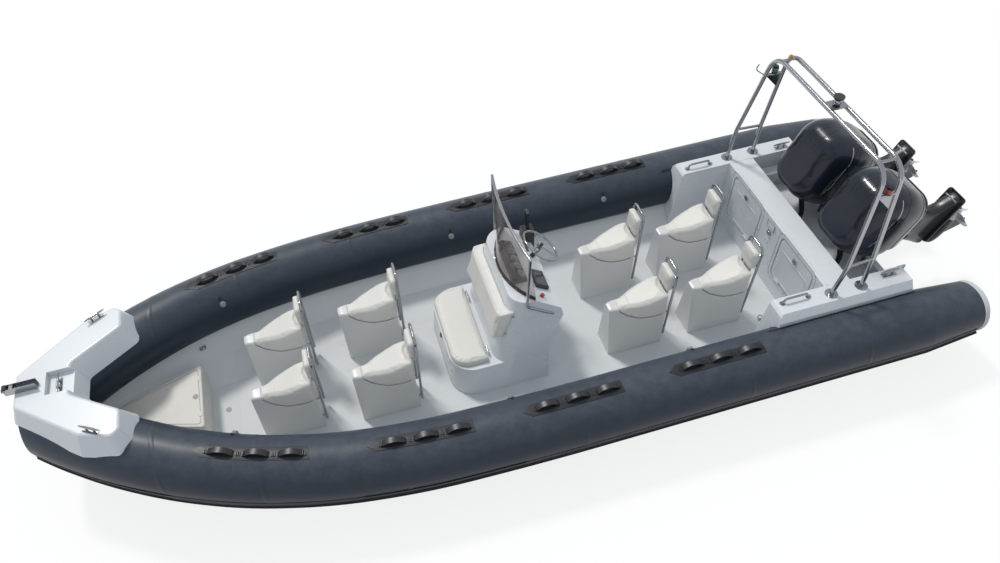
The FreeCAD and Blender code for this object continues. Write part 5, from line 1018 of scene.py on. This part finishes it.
hoseLook = {
    "radius": 0.027, "groove": 0.9, "rings": 46, "sides": 18, "collar": ((46, 0), (46, 6), (36, 10),
    (31, 30)), "routes": {"port": ((-3.11, 0.52, 0.585), (-3.22, 0.52, 0.58), (-3.36, 0.505, 0.585),
    (-3.415, 0.475, 0.64), (-3.4, 0.455, 0.735), (-3.375, 0.445, 0.85), (-3.385, 0.44, 0.9)),
    "starboard": ((-3.11, -0.14, 0.585), (-3.22, -0.145, 0.58), (-3.36, -0.165, 0.585),
    (-3.405, -0.205, 0.64), (-3.39, -0.23, 0.735), (-3.365, -0.25, 0.85), (-3.375, -0.255, 0.9))}}


def makeHoses(look):  # ribbed rigging hoses, fixed at both ends
    for name, route in look["routes"].items():
        guide = tubeRun("hoseGuide_" + name, route, 0.0, "blackRubber")
        guide.data.bevel_depth = 0
        line = bpy.data.meshes.new_from_object(guide)
        path = [vertex.co.copy() for vertex in line.vertices]
        bpy.data.objects.remove(guide)
        lengths = [0.0]
        for first, second in zip(path, path[1:]):
            lengths.append(lengths[-1] + (second - first).length)
        vertices, sides, steps = [], look["sides"], look["rings"] * 4
        side = outward
        for k in range(steps + 1):
            reach = lengths[-1] * k / steps
            j = max(i for i in range(len(path) - 1) if lengths[i] <= reach)
            share = (reach - lengths[j]) / max(1e-9, lengths[j + 1] - lengths[j])
            spot, along = path[j].lerp(path[j + 1], share), (path[j + 1] - path[j]).normalized()
            radius = look["radius"] * (1.0 if k % 4 < 2 else look["groove"])
            side = (side - along * side.dot(along)).normalized()
            up = along.cross(side)
            vertices += [spot + (side * x + up * y) * radius for x, y in unitCircle(sides)]
        mesh = bpy.data.meshes.new("riggingHose_" + name)
        mesh.from_pydata([tuple(vertex) for vertex in vertices], [], ringFaces(0, steps + 1, sides))
        mesh.shade_smooth()
        hose = newPiece("riggingHose_" + name, mesh, "blackRubber")
        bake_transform(hose)
        turned("hoseCollar_" + name, [(Vector(route[0]) + Vector((-0.002, 0, 0)), aft)], look["collar"],
               "blackPlastic")


makeHoses(hoseLook)
print("engines finished")

# bow and floor: lashing rings, locker lid, drains
bowLook = {
    "rings": ((2.85, -0.62), (2.85, 0.62), (-2.62, -0.62), (-2.62, 0.62)), "ringRadius": 0.0055,
    "ringHalf": 0.028, "ringReach": 0.03, "lean": 0.35, "ringFoot": ((30, -1), (30, 3), (26, 6), (12, 6),
    (10, 10)), "lid": ((2.895, -0.315), (2.895, 0.315), (3.66, 0.075), (3.66, -0.075)), "lidLine": 0.003,
    "lidShares": (0.03, 0.06, 0.2, 0.4, 0.6, 0.8, 0.94, 0.97), "latchAt": (2.93, 0), "latch": ((26, 0),
    (26, 3), (21, 4), (18, 1), (8, 1), (8, 5), (3, 6)), "hinges": ((2.895, -0.2), (2.895, 0.2)),
    "hinge": (0.034, 0.06, 0.006, 0.004), "drains": ((-2.72, 0.0), (2.72, 0.0), (0.95, 0.72),
    (0.95, -0.72)), "drain": ((28, 0), (28, 2), (24, 3), (18, 1), (3, 1))}


def makeBowBits(look):
    liner, locker = nodeTree("cockpit_liner"), nodeTree("bow_locker")
    ahead, reach = Vector((1, 0, 0)), look["ringReach"]
    for k, (x, y) in enumerate(look["rings"]):
        foot = onSurface(liner, (x, y, 0.9), down)
        turned("ringFoot%d" % k, [foot], look["ringFoot"], "polishedSteel")
        base = foot[0] + foot[1] * 0.008
        lean = Vector((0, 1 if y < 0 else -1, look["lean"])).normalized()
        points = [base - ahead * look["ringHalf"], base + ahead * look["ringHalf"]]
        for turn in range(7):
            angle = math.pi * turn / 6
            points.append(base + lean * (reach + reach * math.sin(angle))
                          + ahead * look["ringHalf"] * math.cos(angle))
        tubeRun("lashingRing%d" % k, points, look["ringRadius"], "polishedSteel", closed=True, steps=4)
    corners = [Vector((x, y, 0.8)) for x, y in look["lid"]]
    starts = []
    for first, second in zip(corners, corners[1:] + corners[:1]):
        starts += [first.lerp(second, share) for share in look["lidShares"]]
    laidRun("lockerLidSeam", locker, starts, down, look["lidLine"], "seamGrey", closed=True)
    turned("lockerLatch", [onSurface(locker, look["latchAt"] + (0.8,), down)], look["latch"], "seamGrey")
    hinges = [(onSurface(locker, (x, y, 0.8), down)[0], ahead, outward) for x, y in look["hinges"]]
    plates("lockerHinges", hinges, *look["hinge"], "lockerCream")
    drains = hitsOn(liner, [(x, y, 0.9) for x, y in look["drains"]], down)
    turned("floorDrains", [hit for hit in drains if hit[0].z < 0.2], look["drain"], "seamGrey")


makeBowBits(bowLook)
print("bow fittings made")
